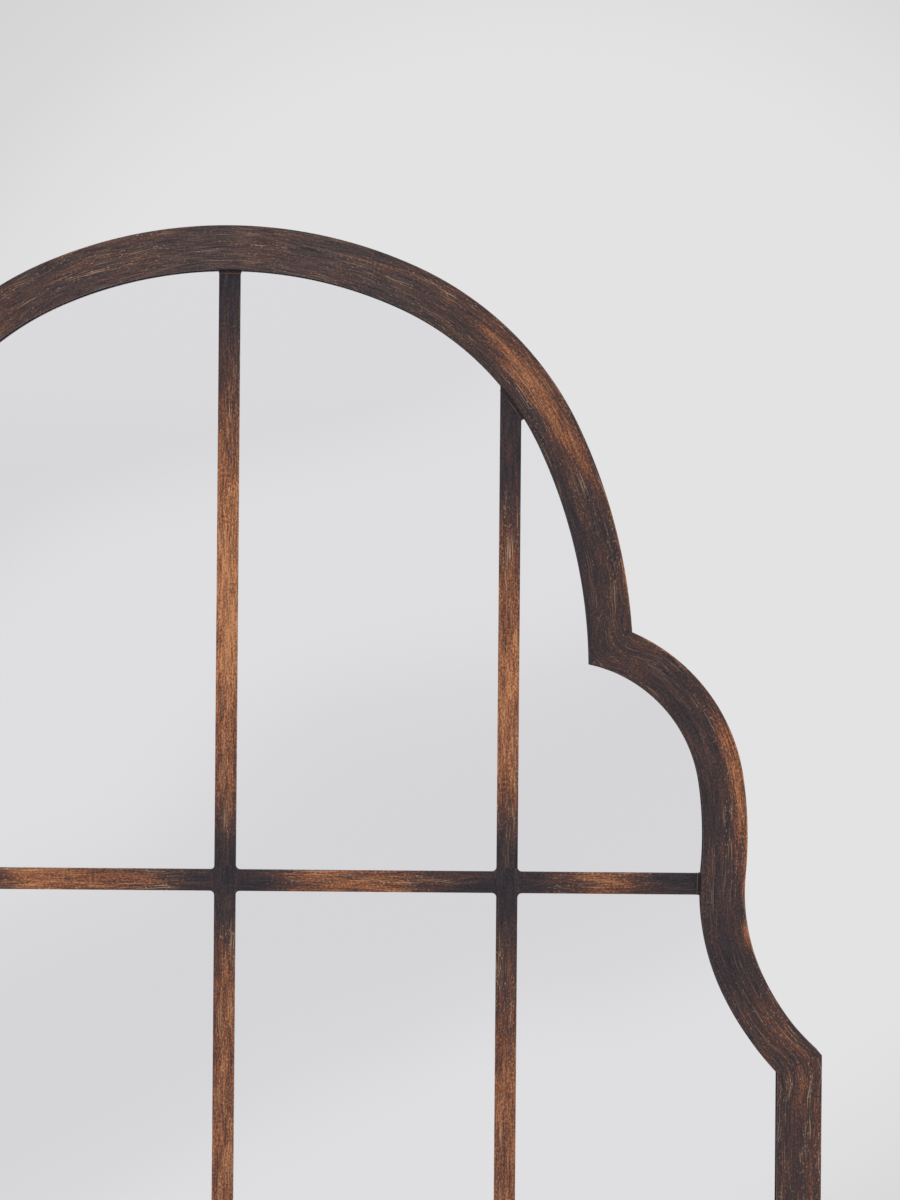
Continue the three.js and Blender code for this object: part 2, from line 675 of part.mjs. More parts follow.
// The wire's centreline, hanging down: straight bar in the eye, two corners, sides and a round end.
function ringPath() {
  const halfWidth = STRAP_WIDTH / 2 + RING_SIDE_PLAY + RING_WIRE_RADIUS;
  const cornerCentre = [halfWidth - RING_CORNER_RADIUS, -RING_CORNER_RADIUS];
  const corner = Array.from({ length: RING_CORNER_STEPS + 1 }, (_, i) => {
    return polar(cornerCentre, RING_CORNER_RADIUS, rad(90) * (1 - i / RING_CORNER_STEPS));
  });
  const end = Array.from({ length: RING_END_STEPS / 2 + 1 }, (_, i) => {
    return polar([0, -RING_SIDE_LENGTH], halfWidth, -rad(180) * i / RING_END_STEPS);
  });
  const right = [[0, 0], ...corner, ...end];
  return [...right, ...mirrorX(right).slice(1, -1)];
}

function ring(x) {
  const path = ringPath();
  const n = path.length;
  const sections = path.map((p, k) => {
    const before = path[(k + n - 1) % n];
    const after = path[(k + 1) % n];
    const length = Math.hypot(after[0] - before[0], after[1] - before[1]);
    const normal = [(before[1] - after[1]) / length, (after[0] - before[0]) / length];
    return Array.from({ length: WIRE_SIDES }, (_, i) => {
      const t = 2 * Math.PI * i / WIRE_SIDES;
      const u = RING_WIRE_RADIUS * Math.cos(t);
      const v = RING_WIRE_RADIUS * Math.sin(t);
      return [x + p[0] + normal[0] * u, eyeY + v, hangerZ + p[1] + normal[1] * u];
    });
  });
  return loft(sections, true);
}

const strapSeatY = fittingFrontY + STRAP_THICKNESS + LAYER_GAP;
for (const [side, x] of hangers) {
  addPiece(`hanger_strap_${side}`, strap(x), zinc);
  addPiece(`hanger_ring_${side}`, ring(x), zinc);
  strapScrews(x).forEach((place, i) => {
    addPiece(`hanger_screw_${side}_${i + 1}`, screw(place, strapSeatY), zinc);
  });
}

// ---------------------------------------------------------------- wall pads

function wallPad(place) {
  return turned([
    [0, fittingFrontY],
    [PAD_RADIUS, fittingFrontY],
    [PAD_RADIUS - PAD_TAPER, 0],
    [0, 0],
  ], place, PAD_SIDES);
}

const padX = innerHalfWidth - PAD_INSET;
for (const [level, z] of [['upper', kneeZ - PAD_KNEE_DROP], ['lower', bottomZ + PAD_RISE]]) {
  addPiece(`wall_pad_${level}_left`, wallPad([-padX, z]), rubber);
  addPiece(`wall_pad_${level}_right`, wallPad([padX, z]), rubber);
}

export default mirror;
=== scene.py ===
"""Arched window mirror: a bronze steel frame with cusped shoulders, a cut steel grille over mirror glass,
and a backing board with clips, screws and two swinging D-rings.

Metres, +Z up, +X to the right seen from the front. The front faces -Y and the wall is the plane y = 0.
"""
import math
from dataclasses import dataclass
from functools import reduce

import bmesh
import bpy
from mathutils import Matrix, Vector, geometry


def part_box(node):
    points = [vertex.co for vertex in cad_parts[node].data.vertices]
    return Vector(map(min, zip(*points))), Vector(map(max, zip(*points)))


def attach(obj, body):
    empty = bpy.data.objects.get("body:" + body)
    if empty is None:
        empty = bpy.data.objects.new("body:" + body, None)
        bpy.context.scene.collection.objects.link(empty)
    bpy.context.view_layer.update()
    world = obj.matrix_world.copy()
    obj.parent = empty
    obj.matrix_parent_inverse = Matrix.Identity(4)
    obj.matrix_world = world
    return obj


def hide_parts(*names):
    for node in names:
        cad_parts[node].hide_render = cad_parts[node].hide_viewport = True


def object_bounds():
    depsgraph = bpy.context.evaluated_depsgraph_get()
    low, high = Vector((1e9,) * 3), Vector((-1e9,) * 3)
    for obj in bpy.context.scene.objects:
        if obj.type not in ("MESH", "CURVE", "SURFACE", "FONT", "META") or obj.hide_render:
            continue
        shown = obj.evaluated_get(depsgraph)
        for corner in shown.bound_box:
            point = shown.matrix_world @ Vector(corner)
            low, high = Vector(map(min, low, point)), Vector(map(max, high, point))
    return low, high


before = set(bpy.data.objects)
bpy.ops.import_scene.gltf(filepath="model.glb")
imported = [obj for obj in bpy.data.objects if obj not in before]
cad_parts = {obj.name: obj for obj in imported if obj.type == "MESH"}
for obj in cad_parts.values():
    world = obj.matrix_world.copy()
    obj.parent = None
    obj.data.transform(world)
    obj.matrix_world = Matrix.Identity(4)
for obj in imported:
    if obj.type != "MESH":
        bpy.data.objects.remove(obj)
cad_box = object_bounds()

# ---- driving dimensions

# Panes and bars
PANE_WIDTH = 0.148
PANE_HEIGHT = 0.340
COLUMNS = 4
ROWS = 3
BAR_WIDTH = 0.012
BAR_FILLET = 0.0025
FILLET_RUN = 2.2  # longest run of a fillet along an edge, in fillet radii
FILLET_CLEARANCE = 1.2  # rim points this near a bar corner are left out, in longest runs
RIM_SETBACK = 0.0005
GRILLE_EDGE_PLAY = 0.0005
BAR_EDGE_RADIUS = 0.0004

# Frame section
ANGLE_WALL = 0.003
FACE_OUTER_RADIUS = 0.0009
FACE_INNER_RADIUS = 0.0006
HIDDEN_RADIUS = 0.0002

# Centreline of the frame, apex to cusp and cusp to knee
CROWN_SWEEP = math.radians(24)
HAUNCH_RADIUS = 0.175
HAUNCH_SWEEP = math.radians(40.5)
HAUNCH_INSET = 0.13865
SPRING_RADIUS = 0.310
KNEE_DROP = 0.4725
KNEE_SLOPE = math.radians(44)
FLARE_RADIUS = 0.157
FLARE_SWEEP = math.radians(19.5)
WAIST_RADIUS = 0.123
WAIST_SWEEP = math.radians(31.5)
LOBE_FOOT_RADIUS = 0.221
LOBE_FOOT_SWEEP = math.radians(13.5)
LOBE_RADIUS = 0.093

# Foam between the glass and the board, from the side legs of the frame
FOAM_EDGE_PLAY = 0.003
FOAM_WIDTH = 0.012
FOAM_EDGE_RADIUS = 0.0003

# Beads where the bars are fused to the frame
BEAD_RADIUS = 0.0003
BEAD_INSET = 0.0018  # from the inner edge of the frame
BEAD_POINTS = 14
BEAD_SIDES = 10
BEAD_RUB = 0.40

# Clips
CLIP_LENGTH = 0.018
CLIP_FOOT = 0.016
CLIP_THICKNESS = 0.0015
CLIP_BEND_RADIUS = 0.0009  # inside the bend
CLIP_HAUNCH_DIRECTION = math.radians(44)
SHEET_EDGE_RADIUS = 0.0002
HOLE_RADIUS = 0.00185
HOLE_SIDES = 32

# Strap hangers and D-rings
STRAP_WIDTH = 0.012
STRAP_THICKNESS = 0.001
STRAP_LENGTH = 0.042
EYE_CLEARANCE = 0.00025
EYE_WRAP = math.radians(285)
EYE_STEPS = 40
RING_WIRE_RADIUS = 0.00125
RING_SIDE_PLAY = 0.002
RING_CORNER_RADIUS = 0.0025
RING_SIDE_LENGTH = 0.006
WIRE_SIDES = 20

# Screws
SCREW_RADIUS = 0.0015
SCREW_LENGTH = 0.008
SCREW_TIP = 0.002
SCREW_TIP_RADIUS = 0.00025
SCREW_HEAD_RADIUS = 0.0032
SCREW_HEAD_HEIGHT = 0.0018
SCREW_HEAD_FLAT = 0.0021  # radius of the flat on top of the head
SCREW_RIM_SHARE = 0.4  # of the head's height, below its dome
RECESS_REACH = 0.0018  # from the axis to the end of an arm of the cross
RECESS_WIDTH = 0.0009
RECESS_DEPTH = 0.0011
RECESS_FOOT_SCALE = 0.5
TURNED_SIDES = 48

# Wall pads
PAD_TAPER = 0.001
PAD_EDGE_RADIUS = 0.0006

# Fineness
RUN_STEP = 0.003  # along the curved rails
STRAIGHT_STEP = 0.010  # along straight rails and bars
ACROSS_STEP = 0.0025  # across a rail's face
ROUND_STEPS = 4  # on a rounded edge
FILLET_STEPS = 6
SMOOTH_ANGLE = math.radians(165)
SHARP_ANGLE = math.radians(38)
LEAST_HALF_COSINE = 0.5  # keeps a sharp corner near when its outline grows
ON_LINE = 1e-7

# Camera
LENS = 79.57
SENSOR = 36.0
CAMERA_X = 0.1264
CAMERA_DISTANCE = 1.5  # in front of the frame's face
CAMERA_DROP = 0.2111  # below the top of the frame
CAMERA_ROLL = math.radians(-0.47)

# ---- places from the frame

stile_low, stile_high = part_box("stile_right")
inner_half_width = stile_low.x
face_width = stile_high.x - stile_low.x
half = face_width / 2
leg_inside = half - ANGLE_WALL
stile_x = inner_half_width + half
front_y = stile_low.y
rear_y = stile_high.y
face_back_y = front_y + ANGLE_WALL
top_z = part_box("arch_rail")[1].z
bottom_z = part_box("bottom_rail")[0].z
knee_z = top_z - KNEE_DROP
pitch = PANE_WIDTH + BAR_WIDTH
bar_xs = [(column - COLUMNS / 2) * pitch for column in range(1, COLUMNS)]
bar_zs = [top_z - face_width + BAR_WIDTH / 2 - row * (PANE_HEIGHT + BAR_WIDTH) for row in range(1, ROWS)]

# ---- plane geometry
# Points are (x, z) pairs.


def polar(centre, radius, angle):
    return (centre[0] + radius * math.cos(angle), centre[1] + radius * math.sin(angle))


def angle_from(centre, point):
    return math.atan2(point[1] - centre[1], point[0] - centre[0])


def distance(a, b):
    return math.hypot(a[0] - b[0], a[1] - b[1])


def arc_points(centre, radius, start, turn, steps):
    """Points on an arc from the angle start, through a turn."""
    return [polar(centre, radius, start + turn * k / steps) for k in range(steps + 1)]


def circle(centre, radius, sides):
    return arc_points(centre, radius, 0, 2 * math.pi, sides)[:-1]


def between(start, end, steps):
    """Evenly spaced points from start to end."""
    return [
        (start[0] + (end[0] - start[0]) * k / steps, start[1] + (end[1] - start[1]) * k / steps)
        for k in range(steps + 1)
    ]


def around(items):
    """Each item of a closed ring with the next one."""
    return zip(items, items[1:] + items[:1])


def corner_at(points, i):
    """A corner of a closed outline, with unit vectors to the corners before and after it."""
    here = Vector(points[i][:2])
    before = (Vector(points[i - 1][:2]) - here).normalized()
    after = (Vector(points[(i + 1) % len(points)][:2]) - here).normalized()
    return here, before, after


def corner_arc(here, before, after, reach, radius, steps):
    """The arc that rounds a corner, from reach before it to reach after it."""
    centre = here + (before + after).normalized() * radius / math.sin(before.angle(after) / 2)
    start = angle_from(centre, here + before * reach)
    turn = angle_from(centre, here + after * reach) - start
    turn = math.atan2(math.sin(turn), math.cos(turn))
    return arc_points(centre, radius, start, turn, steps)


@dataclass
class Arc:
    """Part of the frame's centreline; side is -1 where the frame curves inwards."""
    centre: tuple
    radius: float
    start: float
    end: float
    side: int = 1

    def at(self, offset, angle):
        return polar(self.centre, self.radius + self.side * offset, angle)

    def length(self):
        return abs(self.end - self.start) * self.radius


def centreline():
    """The right half of the frame as tangent arcs: apex to cusp, and cusp to knee."""
    n0 = math.pi / 2
    n1 = n0 - CROWN_SWEEP
    n2 = n1 - HAUNCH_SWEEP
    haunch_x = stile_x - HAUNCH_INSET - HAUNCH_RADIUS * math.cos(n2)
    crown_radius = HAUNCH_RADIUS + haunch_x / math.cos(n1)
    crown = polar((0, top_z - half), -crown_radius, n0)
    haunch = polar(crown, crown_radius - HAUNCH_RADIUS, n1)
    spring = polar(haunch, HAUNCH_RADIUS - SPRING_RADIUS, n2)

    m0 = math.pi / 2 - KNEE_SLOPE
    m1 = m0 - FLARE_SWEEP
    m2 = m1 - WAIST_SWEEP
    m3 = m2 + LOBE_FOOT_SWEEP
    flare = polar((stile_x, knee_z), FLARE_RADIUS, m0)
    waist = polar(flare, WAIST_RADIUS - FLARE_RADIUS, m1)
    lobe_foot = polar(waist, -(WAIST_RADIUS + LOBE_FOOT_RADIUS), m2)
    lobe = polar(lobe_foot, LOBE_FOOT_RADIUS - LOBE_RADIUS, m3)

    arch = [
        Arc(crown, crown_radius, n0, n1),
        Arc(haunch, HAUNCH_RADIUS, n1, n2),
        Arc(spring, SPRING_RADIUS, n2, n2),
    ]
    shoulder = [
        Arc(lobe, LOBE_RADIUS, m3, m3),
        Arc(lobe_foot, LOBE_FOOT_RADIUS, m3, m2),
        Arc(waist, WAIST_RADIUS, m2 - math.pi, m1 - math.pi, -1),
        Arc(flare, FLARE_RADIUS, m1 - math.pi, m0 - math.pi, -1),
    ]
    return arch, shoulder


arch_arcs, shoulder_arcs = centreline()
spring_arc = arch_arcs[-1]
lobe_arc = shoulder_arcs[0]
flare_arc = shoulder_arcs[-1]


def apex(offset):
    return (0, top_z - half + offset)


def cusp(offset):
    """Where the spring of the arch meets the lobe, at an outward offset."""
    ra = spring_arc.radius + offset
    rb = lobe_arc.radius + offset
    dx = lobe_arc.centre[0] - spring_arc.centre[0]
    dz = lobe_arc.centre[1] - spring_arc.centre[1]
    gap = math.hypot(dx, dz)
    along = (gap * gap + ra * ra - rb * rb) / (2 * gap)
    across = math.sqrt(ra * ra - along * along)
    return (
        spring_arc.centre[0] + (along * dx - across * dz) / gap,
        spring_arc.centre[1] + (along * dz + across * dx) / gap,
    )


def knee(offset):
    """Where the flare meets the stile, at an outward offset."""
    x = stile_x + offset
    r = flare_arc.radius - offset
    return (x, flare_arc.centre[1] - math.sqrt(r * r - (x - flare_arc.centre[0]) ** 2))


def corner(offset):
    return (stile_x + offset, bottom_z + half - offset)


spring_arc.end = angle_from(spring_arc.centre, cusp(0))
lobe_arc.start = angle_from(lobe_arc.centre, cusp(0))
flare_arc.end = angle_from(flare_arc.centre, knee(0))


def chain(arcs, offset, start, end):
    """Points (x, z, run) of a chain of arcs at an offset, its ends moved to two given points.

    run is the distance along the centreline.
    """
    points = []
    run = 0.0
    for i, arc in enumerate(arcs):
        first = angle_from(arc.centre, start) if i == 0 else arc.start
        last = angle_from(arc.centre, end) if i == len(arcs) - 1 else arc.end
        steps = max(1, math.ceil(arc.length() / RUN_STEP))
        for k in range(0 if i == 0 else 1, steps + 1):
            angle = first + (last - first) * k / steps
            share = (angle - arc.start) / (arc.end - arc.start)
            points.append((*arc.at(offset, angle), run + share * arc.length()))
        run += arc.length()
    return points


def mirrored(points):
    """The left-hand copy of right-hand points (x, z, run), with its runs below zero."""
    return [(-x, z, -run) for x, z, run in reversed(points)]


def outline(offset):
    """The closed outline of the frame at an outward offset from its centreline, as (x, z)."""
    right = chain(arch_arcs, offset, apex(offset), cusp(offset))
    right += chain(shoulder_arcs, offset, cusp(offset), knee(offset))[1:]
    right += [(*corner(offset), 0.0)]
    return [(x, z) for x, z, _ in right + mirrored(right)[:-1]]


# ---- meshes and pieces


def shaded(mesh):
    """Smooth faces with sharp edges where the surface turns sharply."""
    mesh.shade_smooth()
    mesh.set_sharp_from_angle(angle=SHARP_ANGLE)
    return mesh


def bare_mesh(name, vertices, faces):
    """A mesh from points and faces, with all normals turned outwards."""
    bm = bmesh.new()
    made = [bm.verts.new(point) for point in vertices]
    for face in faces:
        bm.faces.new([made[i] for i in face])
    bmesh.ops.recalc_face_normals(bm, faces=bm.faces)
    mesh = bpy.data.meshes.new(name)
    bm.to_mesh(mesh)
    bm.free()
    return mesh


def mesh_from(name, vertices, faces, material):
    mesh = bare_mesh(name, vertices, faces)
    mesh.materials.append(material)
    return shaded(mesh)


def placed(name, data, location=(0, 0, 0)):
    """A new object in the scene."""
    item = bpy.data.objects.new(name, data)
    item.location = location
    bpy.context.scene.collection.objects.link(item)
    return item


def add_piece(name, mesh, slot, body, *nodes, location=(0, 0, 0)):
    """Puts a mesh in the scene, in place of CAD nodes if any are given."""
    piece = placed(name, mesh, location)
    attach(piece, body)
    if nodes:
        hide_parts(*nodes)


def band(a, b):
    """Faces between two closed rings of indices."""
    return [(a0, a1, b1, b0) for (a0, a1), (b0, b1) in zip(around(a), around(b))]


def loft_faces(count, corners, closed=False):
    """Faces between rings of corners, with caps at both ends unless the loft runs back into itself."""
    rings = [list(range(k * corners, (k + 1) * corners)) for k in range(count)]
    following = rings[1:] + rings[:1] if closed else rings[1:]
    faces = [face for a, b in zip(rings, following) for face in band(a, b)]
    return faces if closed else faces + [tuple(rings[0]), tuple(rings[-1])]


def rounded(corners):
    """A closed outline from (u, v, radius) corners, each rounded by its radius."""
    points = []
    for i, (_, _, radius) in enumerate(corners):
        here, before, after = corner_at(corners, i)
        reach = radius / math.tan(before.angle(after) / 2)
        points += corner_arc(here, before, after, reach, radius, ROUND_STEPS)
    return points


def subdivided(points, longest):
    """A closed outline with its longer edges split evenly."""
    result = []
    for a, b in around(points):
        parts = max(1, math.ceil(distance(a, b) / longest - ON_LINE))
        for k in range(parts):
            t = k / parts
            result.append((a[0] + (b[0] - a[0]) * t, a[1] + (b[1] - a[1]) * t))
    return result


def write_finish(mesh, domain, runs, **values):
    """Stores what the bronze reads at each point or face corner; a value that isn't stored reads 0."""
    stored = mesh.attributes.new("run", "FLOAT_VECTOR", domain)
    stored.data.foreach_set("vector", [number for run in runs for number in run])
    for name, numbers in values.items():
        mesh.attributes.new(name, "FLOAT", domain).data.foreach_set("value", numbers)


# ---- shader graph helpers


class Graph:
    """Adds nodes to a node tree. An input may be another node's output socket or a plain value."""

    def __init__(self, tree):
        self.tree = tree
        tree.nodes.clear()

    def add(self, kind, inputs=None, **settings):
        node = self.tree.nodes.new(kind)
        for name, value in settings.items():
            setattr(node, name, value)
        for key, value in (inputs or {}).items():
            self.put(node.inputs[key], value)
        return node

    def put(self, socket, value):
        if isinstance(value, bpy.types.NodeSocket):
            self.tree.links.new(value, socket)
        else:
            socket.default_value = value

    def math(self, operation, a, b=0.0):
        return self.add("ShaderNodeMath", {0: a, 1: b}, operation=operation).outputs[0]

    def total(self, *terms):
        return reduce(lambda a, b: self.math("ADD", a, b), terms)

    def product(self, *factors):
        return reduce(lambda a, b: self.math("MULTIPLY", a, b), factors)

    def step(self, value, low, high, to_low=0.0, to_high=1.0):
        """A smooth step from to_low to to_high as value goes from low to high."""
        inputs = {"Value": value, "From Min": low, "From Max": high, "To Min": to_low, "To Max": to_high}
        return self.add("ShaderNodeMapRange", inputs, interpolation_type="SMOOTHSTEP").outputs["Result"]

    def mix(self, share, a, b, blend="MIX"):
        node = self.add("ShaderNodeMix", data_type="RGBA", blend_type=blend, clamp_factor=True)
        # Sockets by number, since the node has several of the same name
        for number, value in ((0, share), (6, a), (7, b)):
            self.put(node.inputs[number], value)
        return node.outputs[2]

    def turning(self, value, low, high, a, b, most=1.0):
        """Colour a, which turns to b, or to a share of it, as value goes from low to high."""
        return self.mix(self.step(value, low, high, 0.0, most), a, b)

    def vector(self, operation, a, b):
        return self.add("ShaderNodeVectorMath", {0: a, 1: b}, operation=operation)

    def stretched(self, place, factors):
        return self.vector("MULTIPLY", place, factors).outputs[0]

    def combined(self, x, y, z):
        return self.add("ShaderNodeCombineXYZ", {0: x, 1: y, 2: z}).outputs[0]

    def position(self):
        return self.add("ShaderNodeTexCoord").outputs["Object"]

    def noise(self, place, scale=1.0, detail=2.0, roughness=0.5, distortion=0.0):
        inputs = {"Vector": place, "Scale": scale, "Detail": detail, "Roughness": roughness}
        inputs["Distortion"] = distortion
        return self.add("ShaderNodeTexNoise", inputs).outputs["Fac"]

    def surface(self, color, roughness, metallic=0.0, specular=0.5, relief=None):
        """Ends a material; relief is the strength, depth and height of its bumps."""
        inputs = {
            "Base Color": color, "Roughness": roughness, "Metallic": metallic, "Specular IOR Level": specular,
        }
        if relief:
            strength, depth, height = relief
            bump = self.add("ShaderNodeBump", {"Strength": strength, "Distance": depth, "Height": height})
            inputs["Normal"] = bump.outputs[0]
        shader = self.add("ShaderNodeBsdfPrincipled", inputs)
        self.add("ShaderNodeOutputMaterial", {"Surface": shader.outputs[0]})


def new_material(name):
    material = bpy.data.materials.new(name)
    material.use_nodes = True
    return material, Graph(material.node_tree)


def rgb(red, green, blue):
    return (red, green, blue, 1.0)


# ---- bronze finish

SOOT_AND_SHADOW = rgb(0.0120, 0.0100, 0.0130)
CHARCOAL = rgb(0.0250, 0.0195, 0.0255)
UMBER = rgb(0.0575, 0.0308, 0.0285)
RUSSET = rgb(0.1230, 0.0495, 0.0345)
COPPER = rgb(0.2920, 0.1115, 0.0535)
BRIGHT_COPPER = rgb(0.6100, 0.2700, 0.1250)
TAUPE = rgb(0.1450, 0.1100, 0.1000)
GOLD = rgb(0.5600, 0.3500, 0.2100)
# Each colour of the paint comes in over a range of the rubbed amount, on top of soot, which also paints the
# shadow where the bars meet the frame
PAINT = [
    (-1.10, -0.55, CHARCOAL),
    (-0.50, 0.00, UMBER),
    (0.10, 0.50, RUSSET),
    (0.45, 0.90, COPPER),
    (0.85, 1.60, BRIGHT_COPPER),
]
BRUSH_SWAY = 0.004
# How far apart two pieces with consecutive numbers lie in the noise, so that each has its own marks
MARKS_APART = 9
SCRATCHES_APART = 31
SPECKS_APART = 17


def brushed_bronze(name):
    """Dark paint brushed along each rail and bar, rubbed through to copper where "rub" is high.

    The attributes are run (along, across and a number for each piece), rub (about -1 sooty to 1 rubbed; the
    painted shadow next to the frame lies below -1), wear (above 0 on worn edges) and dust (1 where the paint
    has a pale bloom; over the crown it also paints a sheen from the light above).
    """
    material, graph = new_material(name)
    run = graph.add("ShaderNodeAttribute", attribute_name="run").outputs["Vector"]
    rub, wear, dust = (
        graph.add("ShaderNodeAttribute", attribute_name=attribute).outputs["Fac"]
        for attribute in ("rub", "wear", "dust")
    )

    # The brush wanders a little across the rail
    coarse = graph.stretched(run, (35, 60, MARKS_APART))
    wander = graph.add("ShaderNodeTexNoise", {"Vector": coarse, "Scale": 1.0}).outputs["Color"]
    brush = graph.vector("ADD", run, graph.stretched(wander, (0, BRUSH_SWAY, 0))).outputs[0]

    def marks(along, across, detail=2.0, roughness=0.5, apart=MARKS_APART):
        """Noise with this many features in a metre along and across the brush."""
        return graph.noise(graph.stretched(brush, (along, across, apart)), 1.0, detail, roughness)

    clouds = marks(26, 140, 3.0, 0.6)
    broad = marks(32, 480)
    fine = marks(75, 1300, 2.0, 0.6)
    grain = marks(650, 1100, 2.0, 0.7)
    groups = marks(18, 210)
    lines = marks(45, 1900, 1.0, apart=SCRATCHES_APART)

    # Rubbed amount: the rub attribute, broken up by the brush marks
    amount = graph.total(
        rub,
        graph.step(clouds, 0.30, 0.70, -0.24, 0.24),
        graph.step(broad, 0.30, 0.70, -0.16, 0.16),
        graph.step(fine, 0.32, 0.68, -0.25, 0.25),
        graph.step(grain, 0.32, 0.68, -0.33, 0.33),
        graph.product(wear, graph.step(clouds, 0.40, 0.62)),
    )
    color = SOOT_AND_SHADOW
    for low, high, coat in PAINT:
        color = graph.turning(amount, low, high, color, coat)
    # Taupe bloom where dust is high; over the crown this is also a painted sheen from the light above.
    bloom_and_sheen = graph.product(dust, graph.step(fine, 0.35, 0.70, 0.15, 0.85))
    color = graph.mix(bloom_and_sheen, color, TAUPE)
    shade = graph.total(graph.step(fine, 0.30, 0.70, 0.41, 0.59), graph.step(grain, 0.30, 0.70, 0.38, 0.62))
    color = graph.mix(1.0, color, graph.combined(shade, shade, shade), "MULTIPLY")

    # Long fine scratches in groups, and pale specks
    scratches = graph.product(
        graph.step(lines, 0.57, 0.70),
        graph.step(groups, 0.45, 0.62),
        graph.step(rub, -0.4, 0.3, 0.15, 0.75),
    )
    spread = graph.stretched(brush, (430, 1250, SPECKS_APART))
    dots = graph.add("ShaderNodeTexVoronoi", {"Vector": spread, "Scale": 1.0}).outputs
    frayed = graph.total(dots["Distance"], graph.step(grain, 0.30, 0.70, 0.14, -0.14))
    specks = graph.product(
        graph.step(frayed, 0.12, 0.34, 1.0, 0.0),
        graph.step(dots["Color"], 0.42, 0.58),
        graph.step(groups, 0.38, 0.62, 0.15, 0.65),
        graph.step(rub, -0.4, 0.1, 0.1, 1.0),
    )
    for share in (scratches, specks):
        color = graph.mix(share, color, GOLD)

    gloss = graph.total(graph.step(amount, 0.0, 1.0, 0.56, 0.44), graph.step(fine, 0.2, 0.8, -0.06, 0.06))
    metal = graph.step(amount, 0.2, 1.0, 0.0, 0.50)
    height = graph.total(*(graph.product(*pair) for pair in ((fine, 0.6), (lines, 0.4), (grain, 0.35))))
    graph.surface(color, gloss, metal, specular=0.32, relief=(0.5, 0.00025, height))
    return material


# Rubbed places: centre along the rail, half length, centre across the rail, half width, strength
ARCH_PATCHES = [
    (0.022, 0.022, 0.000, 0.030, 0.30),
    (0.120, 0.050, 0.006, 0.012, 0.20),
    (0.172, 0.040, 0.003, 0.012, 0.80),
    (0.210, 0.048, 0.002, 0.0115, 0.85),
    (0.242, 0.032, 0.007, 0.009, 0.65),
    (0.300, 0.050, 0.012, 0.004, 0.35),
    (0.330, 0.140, -0.0125, 0.009, -0.40),
    (-0.060, 0.050, 0.002, 0.016, 0.20),
    (-0.150, 0.050, -0.004, 0.014, 0.40),
    (-0.205, 0.055, 0.000, 0.012, 0.80),
    (-0.250, 0.035, 0.006, 0.009, 0.60),
]
SHOULDER_PATCHES = [
    (0.050, 0.045, 0.0125, 0.0025, 0.45),
    (0.045, 0.040, 0.000, 0.020, -0.20),
    (0.104, 0.073, 0.0080, 0.008, 1.00),
    (0.115, 0.060, -0.008, 0.010, -0.25),
    (0.195, 0.050, -0.002, 0.014, -0.25),
    (0.170, 0.050, 0.0125, 0.003, 0.60),
    (0.193, 0.016, 0.011, 0.005, 0.90),
    (0.262, 0.035, 0.006, 0.010, 0.30),
]
STILE_PATCHES = [
    (0.010, 0.030, 0.003, 0.012, 0.30),
    (0.060, 0.070, 0.007, 0.009, 0.30),
    (0.130, 0.090, 0.000, 0.020, 0.15),
    (0.300, 0.110, 0.003, 0.014, 0.65),
    (0.520, 0.060, -0.002, 0.014, 0.35),
]
BOTTOM_PATCHES = [
    (-0.160, 0.100, 0.002, 0.014, 0.60),
    (0.150, 0.120, 0.000, 0.014, 0.70),
]
FACE_RUB = -0.10  # on the front, before the patches
SIDE_RUB = -0.20  # on the sides and inside of the frame
EDGE_WEAR = 0.5
# Paler tan over the crown: dust, and a painted sheen from the light above.
CROWN_SHEEN_AND_DUST = 0.45  # over the crown of the arch
SHEEN_AND_DUST_SPREAD = 0.21
MITRE_TURN_REACH = 0.020  # the brush turns with the frame this near to a mitre
# Each piece's number, which gives it brush marks of its own; the rails count from 0
LEVEL_NUMBER = 10
UPRIGHT_NUMBER = 15
CROSSING_NUMBER = 20
BEAD_NUMBER = 30

# Along a bar: the rub at its joints and between them
JOINT_RUB = -0.50
# Painted shadow: the bars darken to soot next to the frame, where its raised edge shades them.
FRAME_SHADOW_RUB = -1.10  # next to the frame
FRAME_SHADOW_REACH = 0.004
BAR_RUB = 0.60
JOINT_DARK = 0.010
JOINT_FADE = 0.050
# Stretches of a bar that differ from that: centre, half length, strength
UPRIGHT_STRETCHES = [
    [(0.44, 0.07, -0.55), (0.31, 0.13, 0.5), (0.02, 0.08, 0.3), (-0.38, 0.09, 0.45)],
    [(0.5, 0.1, -0.6), (0.415, 0.045, 0.2), (0.335, 0.095, 0.7), (0.03, 0.09, 0.2), (-0.34, 0.11, 0.6)],
    [(0.43, 0.085, -0.95), (0.285, 0.08, 0.45), (0.14, 0.06, -0.5), (0.02, 0.08, 0.2), (-0.3, 0.1, 0.4)],
]
LEVEL_STRETCHES = [
    [(-0.23, 0.05, 0.3), (-0.105, 0.055, 0.4), (0.075, 0.04, 0.2), (0.128, 0.036, -0.5), (0.21, 0.03, 0.1),
     (0.262, 0.03, -0.6)],
    [(-0.24, 0.05, 0.35), (-0.07, 0.05, 0.3), (0.09, 0.05, 0.3), (0.235, 0.05, 0.35)],
]


def bump_at(distance_from_centre, half_size):
    """A smooth hump, 1 at the centre and 0 at half_size."""
    t = distance_from_centre / half_size
    return max(0.0, 1.0 - t * t) ** 2


def smooth(t):
    """A smooth step from 0 to 1 as t goes from 0 to 1."""
    t = min(1.0, max(0.0, t))
    return t * t * (3 - 2 * t)


def rub_at(patches, run, offset):
    return FACE_RUB + sum(
        strength * bump_at(run - along, half_length) * bump_at(offset - across, half_width)
        for along, half_length, across, half_width, strength in patches
    )


# ---- frame rails


